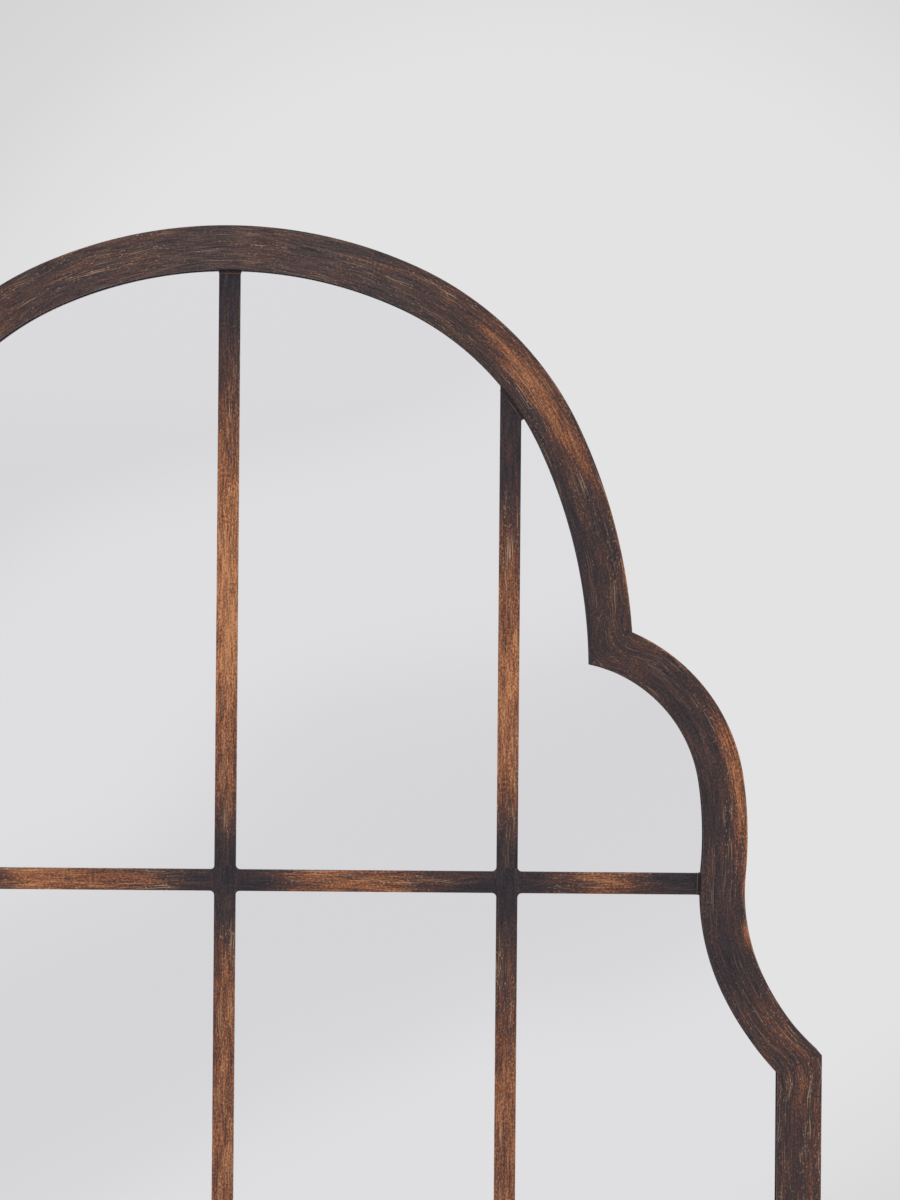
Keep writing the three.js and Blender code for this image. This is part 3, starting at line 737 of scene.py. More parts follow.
def angle_section():
    """The L section of the angle as (offset, y), with a soft front and a point every few millimetres."""
    corners = [
        (half, front_y, FACE_OUTER_RADIUS),
        (-half, front_y, FACE_INNER_RADIUS),
        (-half, face_back_y, HIDDEN_RADIUS),
        (leg_inside, face_back_y, HIDDEN_RADIUS),
        (leg_inside, rear_y, HIDDEN_RADIUS),
        (half, rear_y, HIDDEN_RADIUS),
    ]
    return subdivided(rounded(corners), ACROSS_STEP)


def mitre(joint):
    """The line through a corner of the frame, as a point and a unit normal."""
    outer = Vector(joint(half))
    inner = Vector(joint(-half))
    along = (outer - inner).normalized()
    return inner, Vector((along.y, -along.x))


def arc_on_mitre(arc, offset, line, near):
    """Where a mitre line crosses an arc at an offset, next to a given point."""
    point, normal = line
    radius = arc.radius + arc.side * offset
    reach = normal.dot(point - Vector(arc.centre))
    middle = math.atan2(normal.y, normal.x)
    spread = math.acos(reach / radius)
    options = [polar(arc.centre, radius, middle + sign * spread) for sign in (1, -1)]
    return min(options, key=lambda option: distance(option, near))


def arch_path(offset):
    foot = arc_on_mitre(spring_arc, offset, mitre(cusp), cusp(offset))
    right = chain(arch_arcs, offset, apex(offset), foot)
    return mirrored(right)[:-1] + right


def shoulder_path(offset):
    top = arc_on_mitre(lobe_arc, offset, mitre(cusp), cusp(offset))
    foot = arc_on_mitre(flare_arc, offset, mitre(knee), knee(offset))
    return chain(shoulder_arcs, offset, top, foot)


def stile_path(offset):
    """The stile, its upper end on the mitre of the knee."""
    point, normal = mitre(knee)
    x = stile_x + offset
    top = (x, point.y - normal.x * (x - point.x) / normal.y)
    steps = math.ceil((knee_z - bottom_z) / STRAIGHT_STEP)
    return [(x, z, knee_z - z) for x, z in between(top, corner(offset), steps)]


def bottom_path(offset):
    right, z = corner(offset)
    steps = math.ceil(2 * stile_x / STRAIGHT_STEP)
    return [(x, z, x) for x, z in between((right, z), (-right, z), steps)]


class MitreTurn:
    """The brush direction on the mitre at one end of a rail, halfway between the two rails."""

    def __init__(self, inner_path, outer_path, ring, neighbour):
        inner = Vector(inner_path[ring][:2])
        outer = Vector(outer_path[ring][:2])
        self.ring = ring
        self.middle = (inner + outer) / 2
        self.run = (inner_path[ring][2] + outer_path[ring][2]) / 2
        self.out = (outer - inner).normalized()
        self.along = Vector((self.out.y, -self.out.x))
        step = Vector(outer_path[neighbour][:2]) - outer
        if self.along.dot(step) * (outer_path[neighbour][2] - outer_path[ring][2]) < 0:
            self.along = -self.along

    def brush(self, point):
        """The run and offset of a point, as this direction counts them."""
        reach = Vector(point) - self.middle
        return self.run + reach.dot(self.along), reach.dot(self.out)


def rail_mesh(name, path_at, patches, dust, number, material):
    """A rail lofted along its path, with its brush direction, rubbed places, worn edges, and dust that over
    the crown also paints a sheen from the light above.
    """
    section = angle_section()
    paths = [path_at(offset) for offset, _ in section]
    rings = len(paths[0])
    perimeter = [0.0]
    for a, b in zip(section, section[1:]):
        perimeter.append(perimeter[-1] + distance(a, b))
    offsets = [offset for offset, _ in section]
    inner_path = paths[offsets.index(min(offsets))]
    outer_path = paths[offsets.index(max(offsets))]
    turns = [MitreTurn(inner_path, outer_path, *ends) for ends in ((0, 1), (-1, -2))]
    vertices, runs, rubs, wears, dust_and_sheen_values = [], [], [], [], []
    for k in range(rings):
        for j, (offset, y) in enumerate(section):
            x, z, run = paths[j][k]
            vertices.append((x, y, z))
            on_face = y < front_y + FACE_OUTER_RADIUS
            brush = Vector((run, perimeter[j], number))
            for turn in turns:
                share = smooth(1 - abs(run - paths[j][turn.ring][2]) / MITRE_TURN_REACH)
                if on_face and share > 0:
                    turned_run, turned_offset = turn.brush((x, z))
                    across = perimeter[j] + offset - turned_offset
                    brush = brush.lerp(Vector((turned_run, across, number)), share)
            runs.append(brush)
            rubs.append(rub_at(patches, run, offset) if on_face else SIDE_RUB)
            on_edge = front_y < y - ON_LINE and on_face and offset > 0
            wears.append(EDGE_WEAR if on_edge else 0.0)
            # Dust and painted sheen over the crown, fading away from the apex.
            dust_and_sheen_values.append(dust * bump_at(run, SHEEN_AND_DUST_SPREAD) if on_face else 0.0)
    mesh = mesh_from(name, vertices, loft_faces(rings, len(section)), material)
    write_finish(mesh, "POINT", runs, rub=rubs, wear=wears, dust=dust_and_sheen_values)
    return mesh


def left_of(path_at):
    return lambda offset: [(-x, z, run) for x, z, run in path_at(offset)]


def build_frame(material):
    rails = [
        ("arch_rail", arch_path, ARCH_PATCHES, CROWN_SHEEN_AND_DUST),
        ("shoulder_rail_right", shoulder_path, SHOULDER_PATCHES, 0.0),
        ("shoulder_rail_left", left_of(shoulder_path), SHOULDER_PATCHES, 0.0),
        ("stile_right", stile_path, STILE_PATCHES, 0.0),
        ("stile_left", left_of(stile_path), STILE_PATCHES, 0.0),
        ("bottom_rail", bottom_path, BOTTOM_PATCHES, 0.0),
    ]
    for number, (node, path_at, patches, dust) in enumerate(rails):
        mesh = rail_mesh(node, path_at, patches, dust, number, material)
        add_piece(f"{node}_brushed", mesh, "frame_finish", "root", node)


# ---- window grille


def clipped(points, axis, limit, keep_above):
    """The part of a polygon on one side of an upright (axis 0) or level (axis 1) line."""
    kept = []
    for p, q in around(points):
        p_inside = (p[axis] >= limit) == keep_above
        q_inside = (q[axis] >= limit) == keep_above
        if p_inside:
            kept.append(p)
        if p_inside != q_inside:
            t = (limit - p[axis]) / (q[axis] - p[axis])
            kept.append((p[0] + t * (q[0] - p[0]), p[1] + t * (q[1] - p[1])))
    return kept


def filleted(pane, on_bar):
    """A pane with its corners at the bars rounded."""
    longest = FILLET_RUN * BAR_FILLET
    corners = [p for p in pane if on_bar(p)]
    points = [
        p for p in pane
        if on_bar(p) or all(distance(p, q) > FILLET_CLEARANCE * longest for q in corners)
    ]
    result = []
    for i, p in enumerate(points):
        here, before, after = corner_at(points, i)
        opening = before.angle(after)
        if not on_bar(p) or opening > SMOOTH_ANGLE:
            result.append(p)
            continue
        reach = min(BAR_FILLET / math.tan(opening / 2), longest)
        result += corner_arc(here, before, after, reach, reach * math.tan(opening / 2), FILLET_STEPS)
    return result


def pane_outline(column, row):
    """One pane between its bars; column and row count from the left and from the top."""
    left = -inner_half_width + column * pitch
    top = top_z - face_width - row * (PANE_HEIGHT + BAR_WIDTH)
    limits = []
    if column > 0:
        limits.append((0, left, True))
    if column < COLUMNS - 1:
        limits.append((0, left + PANE_WIDTH, False))
    if row > 0:
        limits.append((1, top, False))
    if row < ROWS - 1:
        limits.append((1, top - PANE_HEIGHT, True))
    pane = outline(-half + RIM_SETBACK)
    for axis, limit, keep_above in limits:
        pane = clipped(pane, axis, limit, keep_above)

    def on_bar(p):
        return any(abs(p[axis] - limit) < ON_LINE for axis, limit, _ in limits)

    return subdivided(filleted(pane, on_bar), STRAIGHT_STEP)


def signed_area(points):
    return sum(a[0] * b[1] - b[0] * a[1] for a, b in around(points)) / 2


def grown(points, reach):
    """A closed outline moved outwards by reach along the normals at its points."""
    turn = 1 if signed_area(points) > 0 else -1
    result = []
    for i in range(len(points)):
        here, before, after = corner_at(points, i)
        normal = Vector((after.y - before.y, before.x - after.x)).normalized() * turn
        stretch = 1 / max(LEAST_HALF_COSINE, math.sqrt((1 - before.dot(after)) / 2))
        result.append(tuple(here + normal * reach * stretch))
    return result


def inside(point, polygon):
    """True if a point lies within a closed polygon."""
    x, z = point
    return sum(
        (z0 > z) != (z1 > z) and x < x0 + (z - z0) / (z1 - z0) * (x1 - x0)
        for (x0, z0), (x1, z1) in around(polygon)
    ) % 2 == 1


def sheet_triangles(outer, holes):
    """Triangles that fill an outline around its holes, as indices into outer plus all holes in order."""
    rings = [outer, *holes]
    points = [Vector(p) for ring in rings for p in ring]
    edges = []
    start = 0
    for ring in rings:
        edges += around(list(range(start, start + len(ring))))
        start += len(ring)
    _, _, triangles, origins, _, _ = geometry.delaunay_2d_cdt(points, edges, [], 1, ON_LINE)
    triangles = [tuple(origins[i][0] for i in triangle) for triangle in triangles]

    def middle(triangle):
        return sum((points[i] for i in triangle), Vector((0, 0))) / 3

    return [t for t in triangles if not any(inside(middle(t), hole) for hole in holes)]


def crossings(points, axis, value):
    """Where a closed outline crosses an upright (axis 0) or level (axis 1) line, as places on that line."""
    other = 1 - axis
    places = []
    for p, q in around(points):
        if (p[axis] > value) != (q[axis] > value):
            t = (value - p[axis]) / (q[axis] - p[axis])
            places.append(p[other] + t * (q[other] - p[other]))
    return places


# Joints along each bar: its crossings with the other bars, and its two ends at the frame
rim = outline(-half)
upright_joints = [[*bar_zs, *crossings(rim, 0, x + ON_LINE)] for x in bar_xs]
level_joints = [[*bar_xs, *crossings(rim, 1, z)] for z in bar_zs]


def bar_rub(place, joints, stretches):
    """Rub along a bar: sooty at its joints, darkest at the frame as a painted shadow of its raised edge, and
    rubbed bright between them.
    """
    d = min(abs(place - joint) for joint in joints)
    level = BAR_RUB + sum(
        strength * bump_at(place - centre, half_length) for centre, half_length, strength in stretches
    )
    rub = JOINT_RUB + (level - JOINT_RUB) * smooth((d - JOINT_DARK) / (JOINT_FADE - JOINT_DARK))
    from_frame = min(abs(place - joints[-1]), abs(place - joints[-2]))
    return FRAME_SHADOW_RUB + (rub - FRAME_SHADOW_RUB) * smooth(from_frame / FRAME_SHADOW_REACH)


def nearest(places, place):
    return min(range(len(places)), key=lambda i: abs(places[i] - place))


def bar_corner_values(centre, corners):
    """The brush direction and rub at the corners of one face of the grille."""
    column = nearest(bar_xs, centre[0])
    row = nearest(bar_zs, centre[1])
    reach = BAR_WIDTH / 2 + BAR_FILLET
    on_upright = abs(centre[0] - bar_xs[column]) < reach
    on_level = abs(centre[1] - bar_zs[row]) < reach
    if on_upright and on_level:
        return [((z, x, CROSSING_NUMBER), JOINT_RUB) for x, z in corners]
    if on_level:
        bar = level_joints[row], LEVEL_STRETCHES[row]
        return [((x, z, LEVEL_NUMBER + row), bar_rub(x, *bar)) for x, z in corners]
    bar = upright_joints[column], UPRIGHT_STRETCHES[column]
    return [((z, x, UPRIGHT_NUMBER + column), bar_rub(z, *bar)) for x, z in corners]


def build_grille(material):
    """The cut sheet, its bars with softly rounded front edges."""
    low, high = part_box("window_grille")
    panes = [pane_outline(column, row) for row in range(ROWS) for column in range(COLUMNS)]
    outer = outline(leg_inside - GRILLE_EDGE_PLAY)
    r = BAR_EDGE_RADIUS
    slope = r * (1 - math.sqrt(0.5))
    # Rings from the front face over the rounded edge to the back, as outward reach and depth
    layers = [(r, low.y), (slope, low.y + slope), (0.0, low.y + r), (0.0, high.y)]

    count = len(outer)
    vertices = [(x, y, z) for y in (low.y, high.y) for x, z in outer]
    front = list(range(count))
    back = list(range(count, 2 * count))
    faces = band(front, back)
    for pane in panes:
        rings = []
        for reach, y in layers:
            rings.append(list(range(len(vertices), len(vertices) + len(pane))))
            vertices += [(x, y, z) for x, z in (grown(pane, reach) if reach else pane)]
        for a, b in zip(rings, rings[1:]):
            faces += band(a, b)
        front += rings[0]
        back += rings[-1]
    for side, holes in ((front, [grown(pane, r) for pane in panes]), (back, panes)):
        faces += [tuple(side[i] for i in triangle) for triangle in sheet_triangles(outer, holes)]

    mesh = mesh_from("window_grille", vertices, faces, material)
    values = []
    for polygon in mesh.polygons:
        corners = [mesh.vertices[i].co for i in polygon.vertices]
        centre = sum(corners, Vector()) / len(corners)
        values += bar_corner_values((centre.x, centre.z), [(c.x, c.z) for c in corners])
    runs, rubs = zip(*values)
    write_finish(mesh, "CORNER", runs, rub=rubs)
    add_piece("window_grille_brushed", mesh, "grille_finish", "root", "window_grille")


def tube(path, normals, radius, sides, closed=False):
    """Points and faces of a round wire along a path; each path point has a normal across the wire.

    The points are (x, z) pairs placed at y = 0.
    """
    section = circle((0, 0), radius, sides)
    vertices = [
        (x + nx * across, up, z + nz * across)
        for (x, z), (nx, nz) in zip(path, normals)
        for across, up in section
    ]
    return vertices, loft_faces(len(path), sides, closed)


def path_normals(path, closed=False):
    """The unit normal at each point of a path."""
    normals = []
    last = len(path) - 1
    for i in range(len(path)):
        before = path[i - 1] if closed or i > 0 else path[i]
        after = path[(i + 1) % len(path)] if closed or i < last else path[i]
        along = (Vector(after) - Vector(before)).normalized()
        normals.append((-along.y, along.x))
    return normals


def build_beads(material):
    """The small beads that fuse each end of a bar to the frame."""
    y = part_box("window_grille")[0].y
    line = outline(-half - BEAD_INSET)
    reach = BAR_WIDTH / 2
    ends = [(0, x, end) for x in bar_xs for end in (max, min)]
    ends += [(1, z, end) for z in bar_zs for end in (max, min)]
    vertices, faces, runs = [], [], []
    for number, (axis, middle, end) in enumerate(ends):
        path = []
        for k in range(BEAD_POINTS):
            value = middle + reach * (2 * k / (BEAD_POINTS - 1) - 1) + ON_LINE
            place = end(crossings(line, axis, value))
            path.append((value, place) if axis == 0 else (place, value))
        points, sides = tube(path, path_normals(path), BEAD_RADIUS, BEAD_SIDES)
        faces += [tuple(len(vertices) + i for i in face) for face in sides]
        vertices += [(px, y + py, pz) for px, py, pz in points]
        runs += [(px + pz, py, BEAD_NUMBER + number) for px, py, pz in points]
    mesh = mesh_from("bar_end_beads", vertices, faces, material)
    write_finish(mesh, "POINT", runs, rub=[BEAD_RUB] * len(vertices), dust=[1.0] * len(vertices))
    add_piece("bar_end_beads", mesh, "grille_finish", "root")


# ---- other materials


def mirror_material():
    """Silvered glass: a cool tint, and a polish that changes very slightly over the sheet."""
    material, graph = new_material("mirror_silver")
    place = graph.position()
    tint = graph.noise(place, scale=2.2, detail=1.0)
    color = graph.turning(tint, 0.3, 0.7, rgb(0.968, 0.966, 0.980), rgb(0.955, 0.953, 0.972))
    haze = graph.noise(place, scale=9.0, detail=3.0)
    graph.surface(color, graph.step(haze, 0.3, 0.7, 0.012, 0.03), metallic=1.0)
    return material


def foam_material():
    material, graph = new_material("foam_black")
    place = graph.position()
    cells = graph.add("ShaderNodeTexVoronoi", {"Vector": place, "Scale": 1400.0}).outputs["Distance"]
    color = graph.turning(cells, 0.2, 0.7, rgb(0.022, 0.022, 0.025), rgb(0.045, 0.045, 0.050))
    graph.surface(color, 0.95, relief=(0.6, 0.0002, cells))
    return material


def fibreboard_material():
    """Raw fibreboard: matted fibres over slow changes of tone."""
    material, graph = new_material("fibreboard_raw")
    place = graph.position()
    fibres = graph.noise(place, 420.0, 4.0, 0.7, distortion=1.2)
    blotches = graph.noise(place, 9.0, 4.0, 0.6)
    flecks = graph.noise(graph.stretched(place, (1, 1, 0.35)), 900.0, 1.0)
    color = graph.turning(fibres, 0.3, 0.7, rgb(0.185, 0.105, 0.056), rgb(0.330, 0.205, 0.118))
    color = graph.turning(blotches, 0.35, 0.65, color, rgb(0.235, 0.135, 0.074), 0.35)
    color = graph.turning(flecks, 0.66, 0.74, color, rgb(0.090, 0.050, 0.030), 0.5)
    graph.surface(color, graph.step(fibres, 0.2, 0.8, 0.78, 0.92), relief=(0.3, 0.0003, fibres))
    return material


def zinc_material():
    """Bright zinc plate: a faint blue and yellow passivated tone, with fine scuffs."""
    material, graph = new_material("zinc_plate")
    place = graph.position()
    tone = graph.noise(place, scale=160.0)
    scuffs = graph.noise(graph.stretched(place, (1, 1, 4)), 900.0, 3.0, 0.7)
    color = graph.turning(tone, 0.35, 0.65, rgb(0.560, 0.575, 0.600), rgb(0.640, 0.620, 0.560))
    color = graph.turning(scuffs, 0.5, 0.75, color, rgb(0.420, 0.420, 0.430), 0.4)
    polish = graph.step(scuffs, 0.3, 0.7, 0.24, 0.42)
    graph.surface(color, polish, metallic=1.0, relief=(0.15, 0.0001, scuffs))
    return material


def rubber_material():
    material, graph = new_material("rubber_black")
    dust = graph.noise(graph.position(), 700.0, 3.0, 0.7)
    color = graph.turning(dust, 0.4, 0.75, rgb(0.014, 0.014, 0.015), rgb(0.050, 0.048, 0.046))
    graph.surface(color, graph.step(dust, 0.3, 0.7, 0.62, 0.82), relief=(0.2, 0.0001, dust))
    return material


def dress(node, material):
    """Gives a CAD node's own object a material."""
    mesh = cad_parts[node].data
    mesh.materials.clear()
    mesh.materials.append(material)


# ---- foam, clips, screws, hangers and pads


def middle_of(node):
    """The middle of a CAD node's box, as (x, z)."""
    low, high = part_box(node)
    return ((low.x + high.x) / 2, (low.z + high.z) / 2)


def build_foam(material):
    low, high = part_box("foam_strip")
    outer = leg_inside - FOAM_EDGE_PLAY
    inner = outer - FOAM_WIDTH
    corners = [(outer, low.y), (inner, low.y), (inner, high.y), (outer, high.y)]
    section = rounded([(*corner, FOAM_EDGE_RADIUS) for corner in corners])
    loops = [[(x, y, z) for x, z in outline(offset)] for offset, y in section]
    vertices = [loop[k] for k in range(len(loops[0])) for loop in loops]
    faces = loft_faces(len(loops[0]), len(section), closed=True)
    add_piece("foam_seal", mesh_from("foam_seal", vertices, faces, material), "foam", "root", "foam_strip")


def pressed(profile, width):
    """Points and faces of a sheet with the side view profile, (width, u, v), with softened side edges."""
    r = SHEET_EDGE_RADIUS
    quarter = arc_points((0, 0), 1, math.pi / 2, -math.pi / 2, ROUND_STEPS)
    ends = [(-width / 2 + r * (1 - sine), -r * (1 - cosine)) for cosine, sine in quarter]
    rings = ends + [(-side, inset) for side, inset in reversed(ends)]
    vertices = []
    for side, inset in rings:
        vertices += [(side, u, v) for u, v in grown(profile, inset)]
    return vertices, loft_faces(len(rings), len(profile))


def drilled(mesh, places, low_y, high_y):
    """A mesh with a round hole along Y at each place."""
    vertices, faces = [], []
    for place in places:
        faces += [tuple(len(vertices) + i for i in face) for face in loft_faces(2, HOLE_SIDES)]
        vertices += [(x, y, z) for y in (low_y, high_y) for x, z in circle(place, HOLE_RADIUS, HOLE_SIDES)]
    body = placed("body", mesh)
    cutter = placed("cutter", bare_mesh("cutter", vertices, faces))
    cut = body.modifiers.new("cut", "BOOLEAN")
    cut.operation = "DIFFERENCE"
    cut.solver = "EXACT"
    cut.object = cutter
    result = bpy.data.meshes.new_from_object(body.evaluated_get(bpy.context.evaluated_depsgraph_get()))
    for item in (body, cutter):
        bpy.data.objects.remove(item)
    return shaded(result)


def turned(name, profile, material, cap=None):
    """A mesh turned round the Y axis from (radius, y) points; cap adds faces to the last ring."""
    vertices = [(x, y, z) for radius, y in profile for x, z in circle((0, 0), radius, TURNED_SIDES)]
    faces = loft_faces(len(profile), TURNED_SIDES)
    if cap:
        faces.pop()
        last = list(range(len(vertices) - TURNED_SIDES, len(vertices)))
        cap(vertices, faces, last)
    return mesh_from(name, vertices, faces, material)


def cross_outline(scale):
    """The outline of a cross recess, as (x, z)."""
    a = RECESS_WIDTH / 2 * scale
    b = RECESS_REACH * scale
    quarter = [(b, -a), (b, a), (a, a)]
    turns = [(1, 0), (0, 1), (-1, 0), (0, -1)]
    return [(x * c - z * s, x * s + z * c) for c, s in turns for x, z in quarter]


def recess(vertices, faces, rim_ring):
    """Closes the flat of a screw's head round a cross recess."""
    top = vertices[rim_ring[0]][1]
    mouth = cross_outline(1.0)
    foot = cross_outline(RECESS_FOOT_SCALE)
    start = len(vertices)
    mouth_ring = list(range(start, start + len(mouth)))
    foot_ring = list(range(start + len(mouth), start + 2 * len(mouth)))
    vertices += [(x, top, z) for x, z in mouth]
    vertices += [(x, top - RECESS_DEPTH, z) for x, z in foot]
    ring = [(vertices[i][0], vertices[i][2]) for i in rim_ring]
    index = rim_ring + mouth_ring
    faces += [tuple(index[i] for i in triangle) for triangle in sheet_triangles(ring, [mouth])]
    faces += band(mouth_ring, foot_ring)
    faces.append(tuple(foot_ring))


def screw_mesh(material):
    """A pan head screw, its head's underside at y = 0."""
    rim_height = SCREW_HEAD_HEIGHT * SCREW_RIM_SHARE
    dome = [
        (
            SCREW_HEAD_FLAT + (SCREW_HEAD_RADIUS - SCREW_HEAD_FLAT) * cosine,
            rim_height + (SCREW_HEAD_HEIGHT - rim_height) * sine,
        )
        for cosine, sine in arc_points((0, 0), 1, 0, math.pi / 2, FILLET_STEPS)
    ]
    profile = [
        (SCREW_TIP_RADIUS, -SCREW_LENGTH),
        (SCREW_RADIUS, -SCREW_LENGTH + SCREW_TIP),
        (SCREW_RADIUS, 0.0),
        (SCREW_HEAD_RADIUS - SHEET_EDGE_RADIUS, 0.0),
        (SCREW_HEAD_RADIUS, SHEET_EDGE_RADIUS),
        *dome,
    ]
    return turned("screw", profile, material, recess)


def build_screws(material):
    mesh = screw_mesh(material)
    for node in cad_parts:
        if "_screw_" in node:
            x, z = middle_of(node)
            place = (x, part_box(node)[1].y - SCREW_HEAD_HEIGHT, z)
            add_piece(f"{node}_cross_head", mesh, "zinc", "root", node, location=place)


def build_clips(material):
    """Bent clips: a foot on the board and a leg up against the side leg of the frame."""
    directions = {
        "clip_apex": math.pi / 2,
        "clip_haunch_right": CLIP_HAUNCH_DIRECTION,
        "clip_haunch_left": math.pi - CLIP_HAUNCH_DIRECTION,
        "clip_stile_upper_right": 0.0,
        "clip_stile_upper_left": math.pi,
        "clip_stile_lower_right": 0.0,
        "clip_stile_lower_left": math.pi,
        "clip_bottom_right": -math.pi / 2,
        "clip_bottom_left": -math.pi / 2,
    }
    heel = CLIP_FOOT / 2
    for node, direction in directions.items():
        low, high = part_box(node)
        x, z = middle_of(node)
        back = low.y + CLIP_THICKNESS
        profile = rounded([
            (heel, low.y, CLIP_BEND_RADIUS + CLIP_THICKNESS),
            (heel, high.y, SHEET_EDGE_RADIUS),
            (heel - CLIP_THICKNESS, high.y, SHEET_EDGE_RADIUS),
            (heel - CLIP_THICKNESS, back, CLIP_BEND_RADIUS),
            (-heel, back, SHEET_EDGE_RADIUS),
            (-heel, low.y, SHEET_EDGE_RADIUS),
        ])
        points, faces = pressed(profile, CLIP_LENGTH)
        out = (math.cos(direction), math.sin(direction))
        vertices = [
            (x + out[0] * u - out[1] * side, y, z + out[1] * u + out[0] * side) for side, u, y in points
        ]
        mesh = mesh_from(node, vertices, faces, material)
        place = middle_of(node.replace("clip", "clip_screw"))
        mesh = drilled(mesh, [place], low.y - CLIP_THICKNESS, back + CLIP_THICKNESS)
        add_piece(f"{node}_bent", mesh, "zinc", "root", node)


def strap_profile(tail_y, eye_y, eye_z):
    """The side view of a strap as (z, y): a flat tail, rolled over the ring's bar into an eye."""
    tail_z = eye_z - STRAP_LENGTH
    inner, outer = (
        arc_points((eye_z, eye_y), RING_WIRE_RADIUS + EYE_CLEARANCE + wall, -math.pi / 2, EYE_WRAP, EYE_STEPS)
        for wall in (0, STRAP_THICKNESS)
    )
    return [(tail_z, tail_y), *outer, *reversed(inner), (tail_z, tail_y + STRAP_THICKNESS)]


def build_hangers(material):
    """Straps on the board and the D-rings that swing in their eyes."""
    for side in ("left", "right"):
        low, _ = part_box(f"hanger_strap_{side}")
        x, _ = middle_of(f"hanger_strap_{side}")
        eye_y = low.y + STRAP_THICKNESS + EYE_CLEARANCE + RING_WIRE_RADIUS
        eye_z = low.z + STRAP_LENGTH
        points, faces = pressed(strap_profile(low.y, eye_y, eye_z), STRAP_WIDTH)
        vertices = [(x + across, y, z) for across, z, y in points]
        mesh = mesh_from("strap", vertices, faces, material)
        places = [middle_of(f"hanger_screw_{side}_{i}") for i in (1, 2)]
        mesh = drilled(mesh, places, low.y - STRAP_THICKNESS, low.y + 2 * STRAP_THICKNESS)
        add_piece(f"hanger_strap_{side}_rolled", mesh, "zinc", "root", f"hanger_strap_{side}")

        half_width = STRAP_WIDTH / 2 + RING_SIDE_PLAY + RING_WIRE_RADIUS
        corner_centre = (half_width - RING_CORNER_RADIUS, -RING_CORNER_RADIUS)
        right = [(0.0, 0.0)]
        right += arc_points(corner_centre, RING_CORNER_RADIUS, math.pi / 2, -math.pi / 2, FILLET_STEPS)
        right += arc_points((0, -RING_SIDE_LENGTH), half_width, 0, -math.pi / 2, 2 * FILLET_STEPS)
        path = right + [(-px, pz) for px, pz in reversed(right[1:-1])]
        points, faces = tube(path, path_normals(path, True), RING_WIRE_RADIUS, WIRE_SIDES, True)
        vertices = [(x + px, eye_y + py, eye_z + pz) for px, py, pz in points]
        mesh = mesh_from("ring", vertices, faces, material)
        add_piece(f"hanger_ring_{side}_wire", mesh, "zinc", f"ring_{side}", f"hanger_ring_{side}")


def build_pads(material):
    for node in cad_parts:
        if not node.startswith("wall_pad_"):
            continue
        low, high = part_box(node)
        radius = (high.x - low.x) / 2
        section = rounded([
            (radius, low.y, PAD_EDGE_RADIUS / 2),
            (radius - PAD_TAPER, high.y, PAD_EDGE_RADIUS),
            (0.0, high.y, HIDDEN_RADIUS),
            (0.0, low.y, HIDDEN_RADIUS),
        ])
        profile = section[:2 * (ROUND_STEPS + 1)]
        mesh = turned(node, profile, material)
        x, z = middle_of(node)
        add_piece(f"{node}_rubber", mesh, "rubber", "root", node, location=(x, 0, z))


# ---- room

FLOOR_RADIUS = 1.9  # too small to reach into the front view
FLOOR_SIDES = 96
FLOOR_GAP = 0.001


def build_floor():
    """A pale round floor under the object."""
    bm = bmesh.new()
    bmesh.ops.create_circle(bm, cap_ends=True, segments=FLOOR_SIDES, radius=FLOOR_RADIUS)
    mesh = bpy.data.meshes.new("floor")
    bm.to_mesh(mesh)
    bm.free()
    material, graph = new_material("floor_pale")
    blotches = graph.noise(graph.position(), scale=3.0)
    graph.surface(graph.mix(blotches, rgb(0.760, 0.760, 0.755), rgb(0.790, 0.790, 0.785)), 0.9)
    mesh.materials.append(material)
    placed("floor", mesh, (0, 0, cad_box[0].z - FLOOR_GAP))


# The room as the camera and the mirror see it. Directions are unit vectors from the object.
ROOM_PALE = rgb(0.768, 0.768, 0.770)
# Painted shade: the backdrop darkens towards the corners of the front view, where its light falls off.
ROOM_CORNER = rgb(0.665, 0.665, 0.668)
BACKDROP_MIDDLE = (0.03, 0.98, 0.0)
BACKDROP_PALE_REACH = 0.19
BACKDROP_CORNER_REACH = 0.295
BAND_SLOPE = 0.45
BAND_PHASE = 0.70
BAND_RATE = 24.8
BAND_DARK = 0.905
BAND_DARK_HIGH = 0.955
BAND_BRIGHT = 1.0
BAND_DRIFT = 2.0  # how far noise bends the bands, in radians
BAND_BLUE = 0.85  # below 1, so that the dark bands are slightly blue
BAND_EDGE = (-0.96, -0.90)  # in y, where the bands in front of the object fade out
CEILING_EDGE = (0.02, 0.09)  # in z, where the bands turn paler
WHITE = rgb(1.0, 1.0, 1.0)
LIGHT_STRENGTH = 0.62


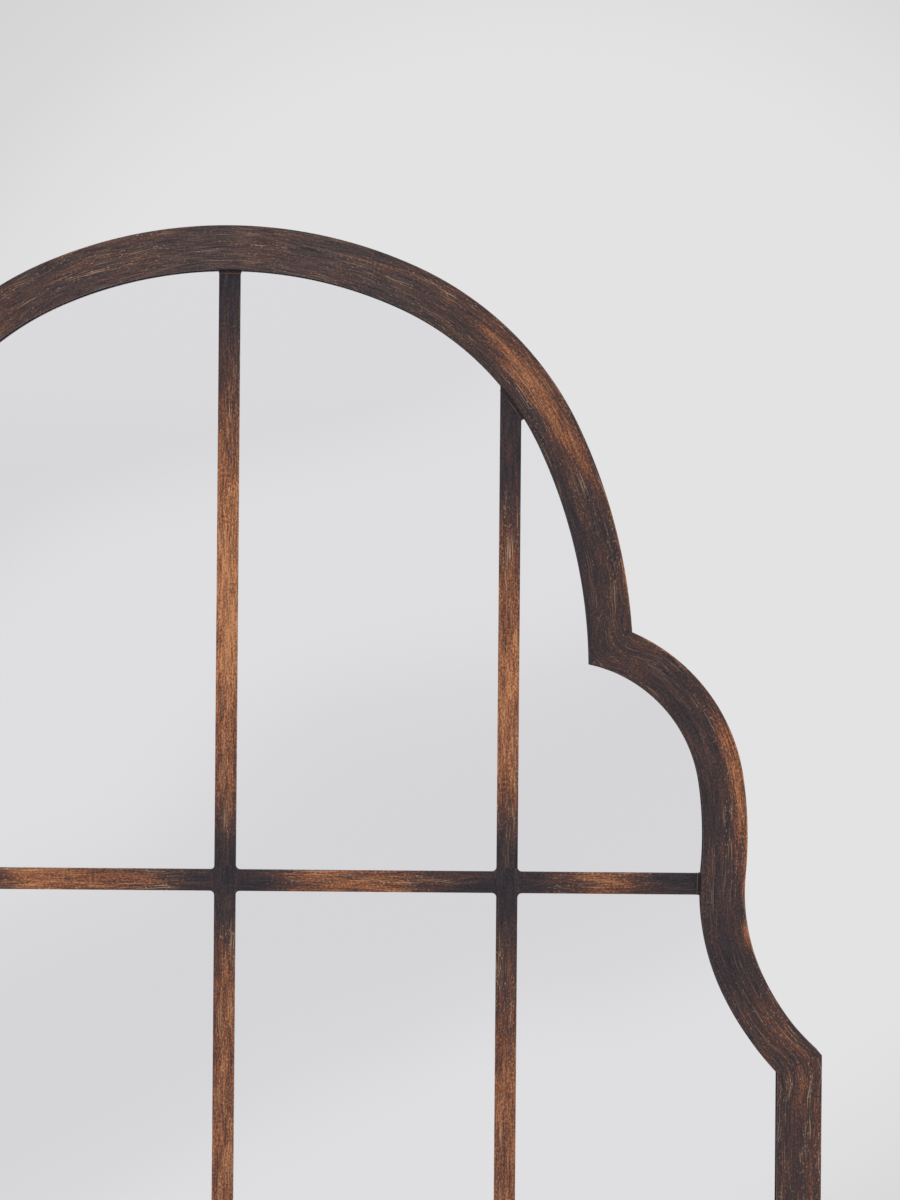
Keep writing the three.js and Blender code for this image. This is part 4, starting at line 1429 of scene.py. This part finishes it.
def build_world():
    """A pale room: plain light, and soft grey tones where the camera or a reflection sees it.

    The wall behind the object is painted darker in the corners of the front view, a painted falloff of its
    light. The room in front of it, which the mirror shows, has soft slanting bands.
    """
    world = bpy.data.worlds.new("room")
    world.use_nodes = True
    bpy.context.scene.world = world
    graph = Graph(world.node_tree)
    direction = graph.add("ShaderNodeTexCoord").outputs["Generated"]
    path = graph.add("ShaderNodeLightPath").outputs
    seen = graph.total(*(path[f"Is {kind} Ray"] for kind in ("Camera", "Glossy", "Transmission")))
    seen = graph.math("MINIMUM", seen, 1.0)

    reach = graph.vector("DISTANCE", direction, BACKDROP_MIDDLE).outputs["Value"]
    corner_share = graph.step(reach, BACKDROP_PALE_REACH, BACKDROP_CORNER_REACH)
    parts = graph.add("ShaderNodeSeparateXYZ", {0: direction}).outputs
    behind = graph.step(parts["Y"], 0.0, 0.5)
    pale = graph.mix(graph.product(corner_share, behind), ROOM_PALE, ROOM_CORNER)

    drift = graph.noise(direction, scale=6.0, detail=1.0)
    across = graph.math("SUBTRACT", graph.product(parts["X"], BAND_SLOPE), parts["Z"])
    phase = graph.total(
        graph.product(across, BAND_RATE), BAND_PHASE - BAND_DRIFT / 2, graph.product(drift, BAND_DRIFT)
    )
    wave = graph.step(graph.math("COSINE", phase), -1.0, 1.0, BAND_DARK, BAND_BRIGHT)
    wave = graph.math("MAXIMUM", wave, graph.step(parts["Z"], *CEILING_EDGE, BAND_DARK, BAND_DARK_HIGH))
    in_front = graph.step(parts["Y"], *BAND_EDGE, 1.0, 0.0)
    banded = graph.mix(in_front, WHITE, graph.combined(wave, wave, graph.math("POWER", wave, BAND_BLUE)))
    pale = graph.mix(1.0, pale, banded, "MULTIPLY")

    shown = graph.add("ShaderNodeBackground", {"Color": pale, "Strength": 1.0})
    light = graph.add("ShaderNodeBackground", {"Color": WHITE, "Strength": LIGHT_STRENGTH})
    mixed = graph.add("ShaderNodeMixShader", {0: seen, 1: light.outputs[0], 2: shown.outputs[0]})
    graph.add("ShaderNodeOutputWorld", {"Surface": mixed.outputs[0]})


LAMP_SIZE = 1.6
LAMP_TARGET = (0, 0, top_z / 3)
LAMPS = {  # the place and power of each
    "key_lamp": ((-1.6, -2.6, 2.2), 30),
    "fill_lamp": ((2.2, -2.2, 0.8), 14),
    "rear_lamp": ((0.8, 2.8, 2.0), 26),
}


def build_lamps():
    for name, (place, power) in LAMPS.items():
        lamp = bpy.data.lights.new(name, "AREA")
        lamp.shape = "DISK"
        lamp.size = LAMP_SIZE
        lamp.energy = power
        holder = placed(name, lamp, place)
        holder.rotation_euler = (Vector(LAMP_TARGET) - Vector(place)).to_track_quat("-Z", "Y").to_euler()
        holder.visible_glossy = False


def build_camera():
    data = bpy.data.cameras.new("camera")
    data.lens = LENS
    data.sensor_width = SENSOR
    camera = placed("camera", data, (CAMERA_X, front_y - CAMERA_DISTANCE, top_z - CAMERA_DROP))
    camera.rotation_euler = (math.pi / 2, CAMERA_ROLL, 0)
    bpy.context.scene.camera = camera


# ---- scene

build_camera()
build_world()
build_lamps()
build_floor()
bpy.context.scene.view_settings.view_transform = "Standard"

build_frame(brushed_bronze("bronze_frame"))
grille_bronze = brushed_bronze("bronze_grille")
build_grille(grille_bronze)
build_beads(grille_bronze)
dress("mirror_glass", mirror_material())
build_foam(foam_material())
dress("backing_board", fibreboard_material())

zinc = zinc_material()
build_clips(zinc)
build_screws(zinc)
build_hangers(zinc)
build_pads(rubber_material())
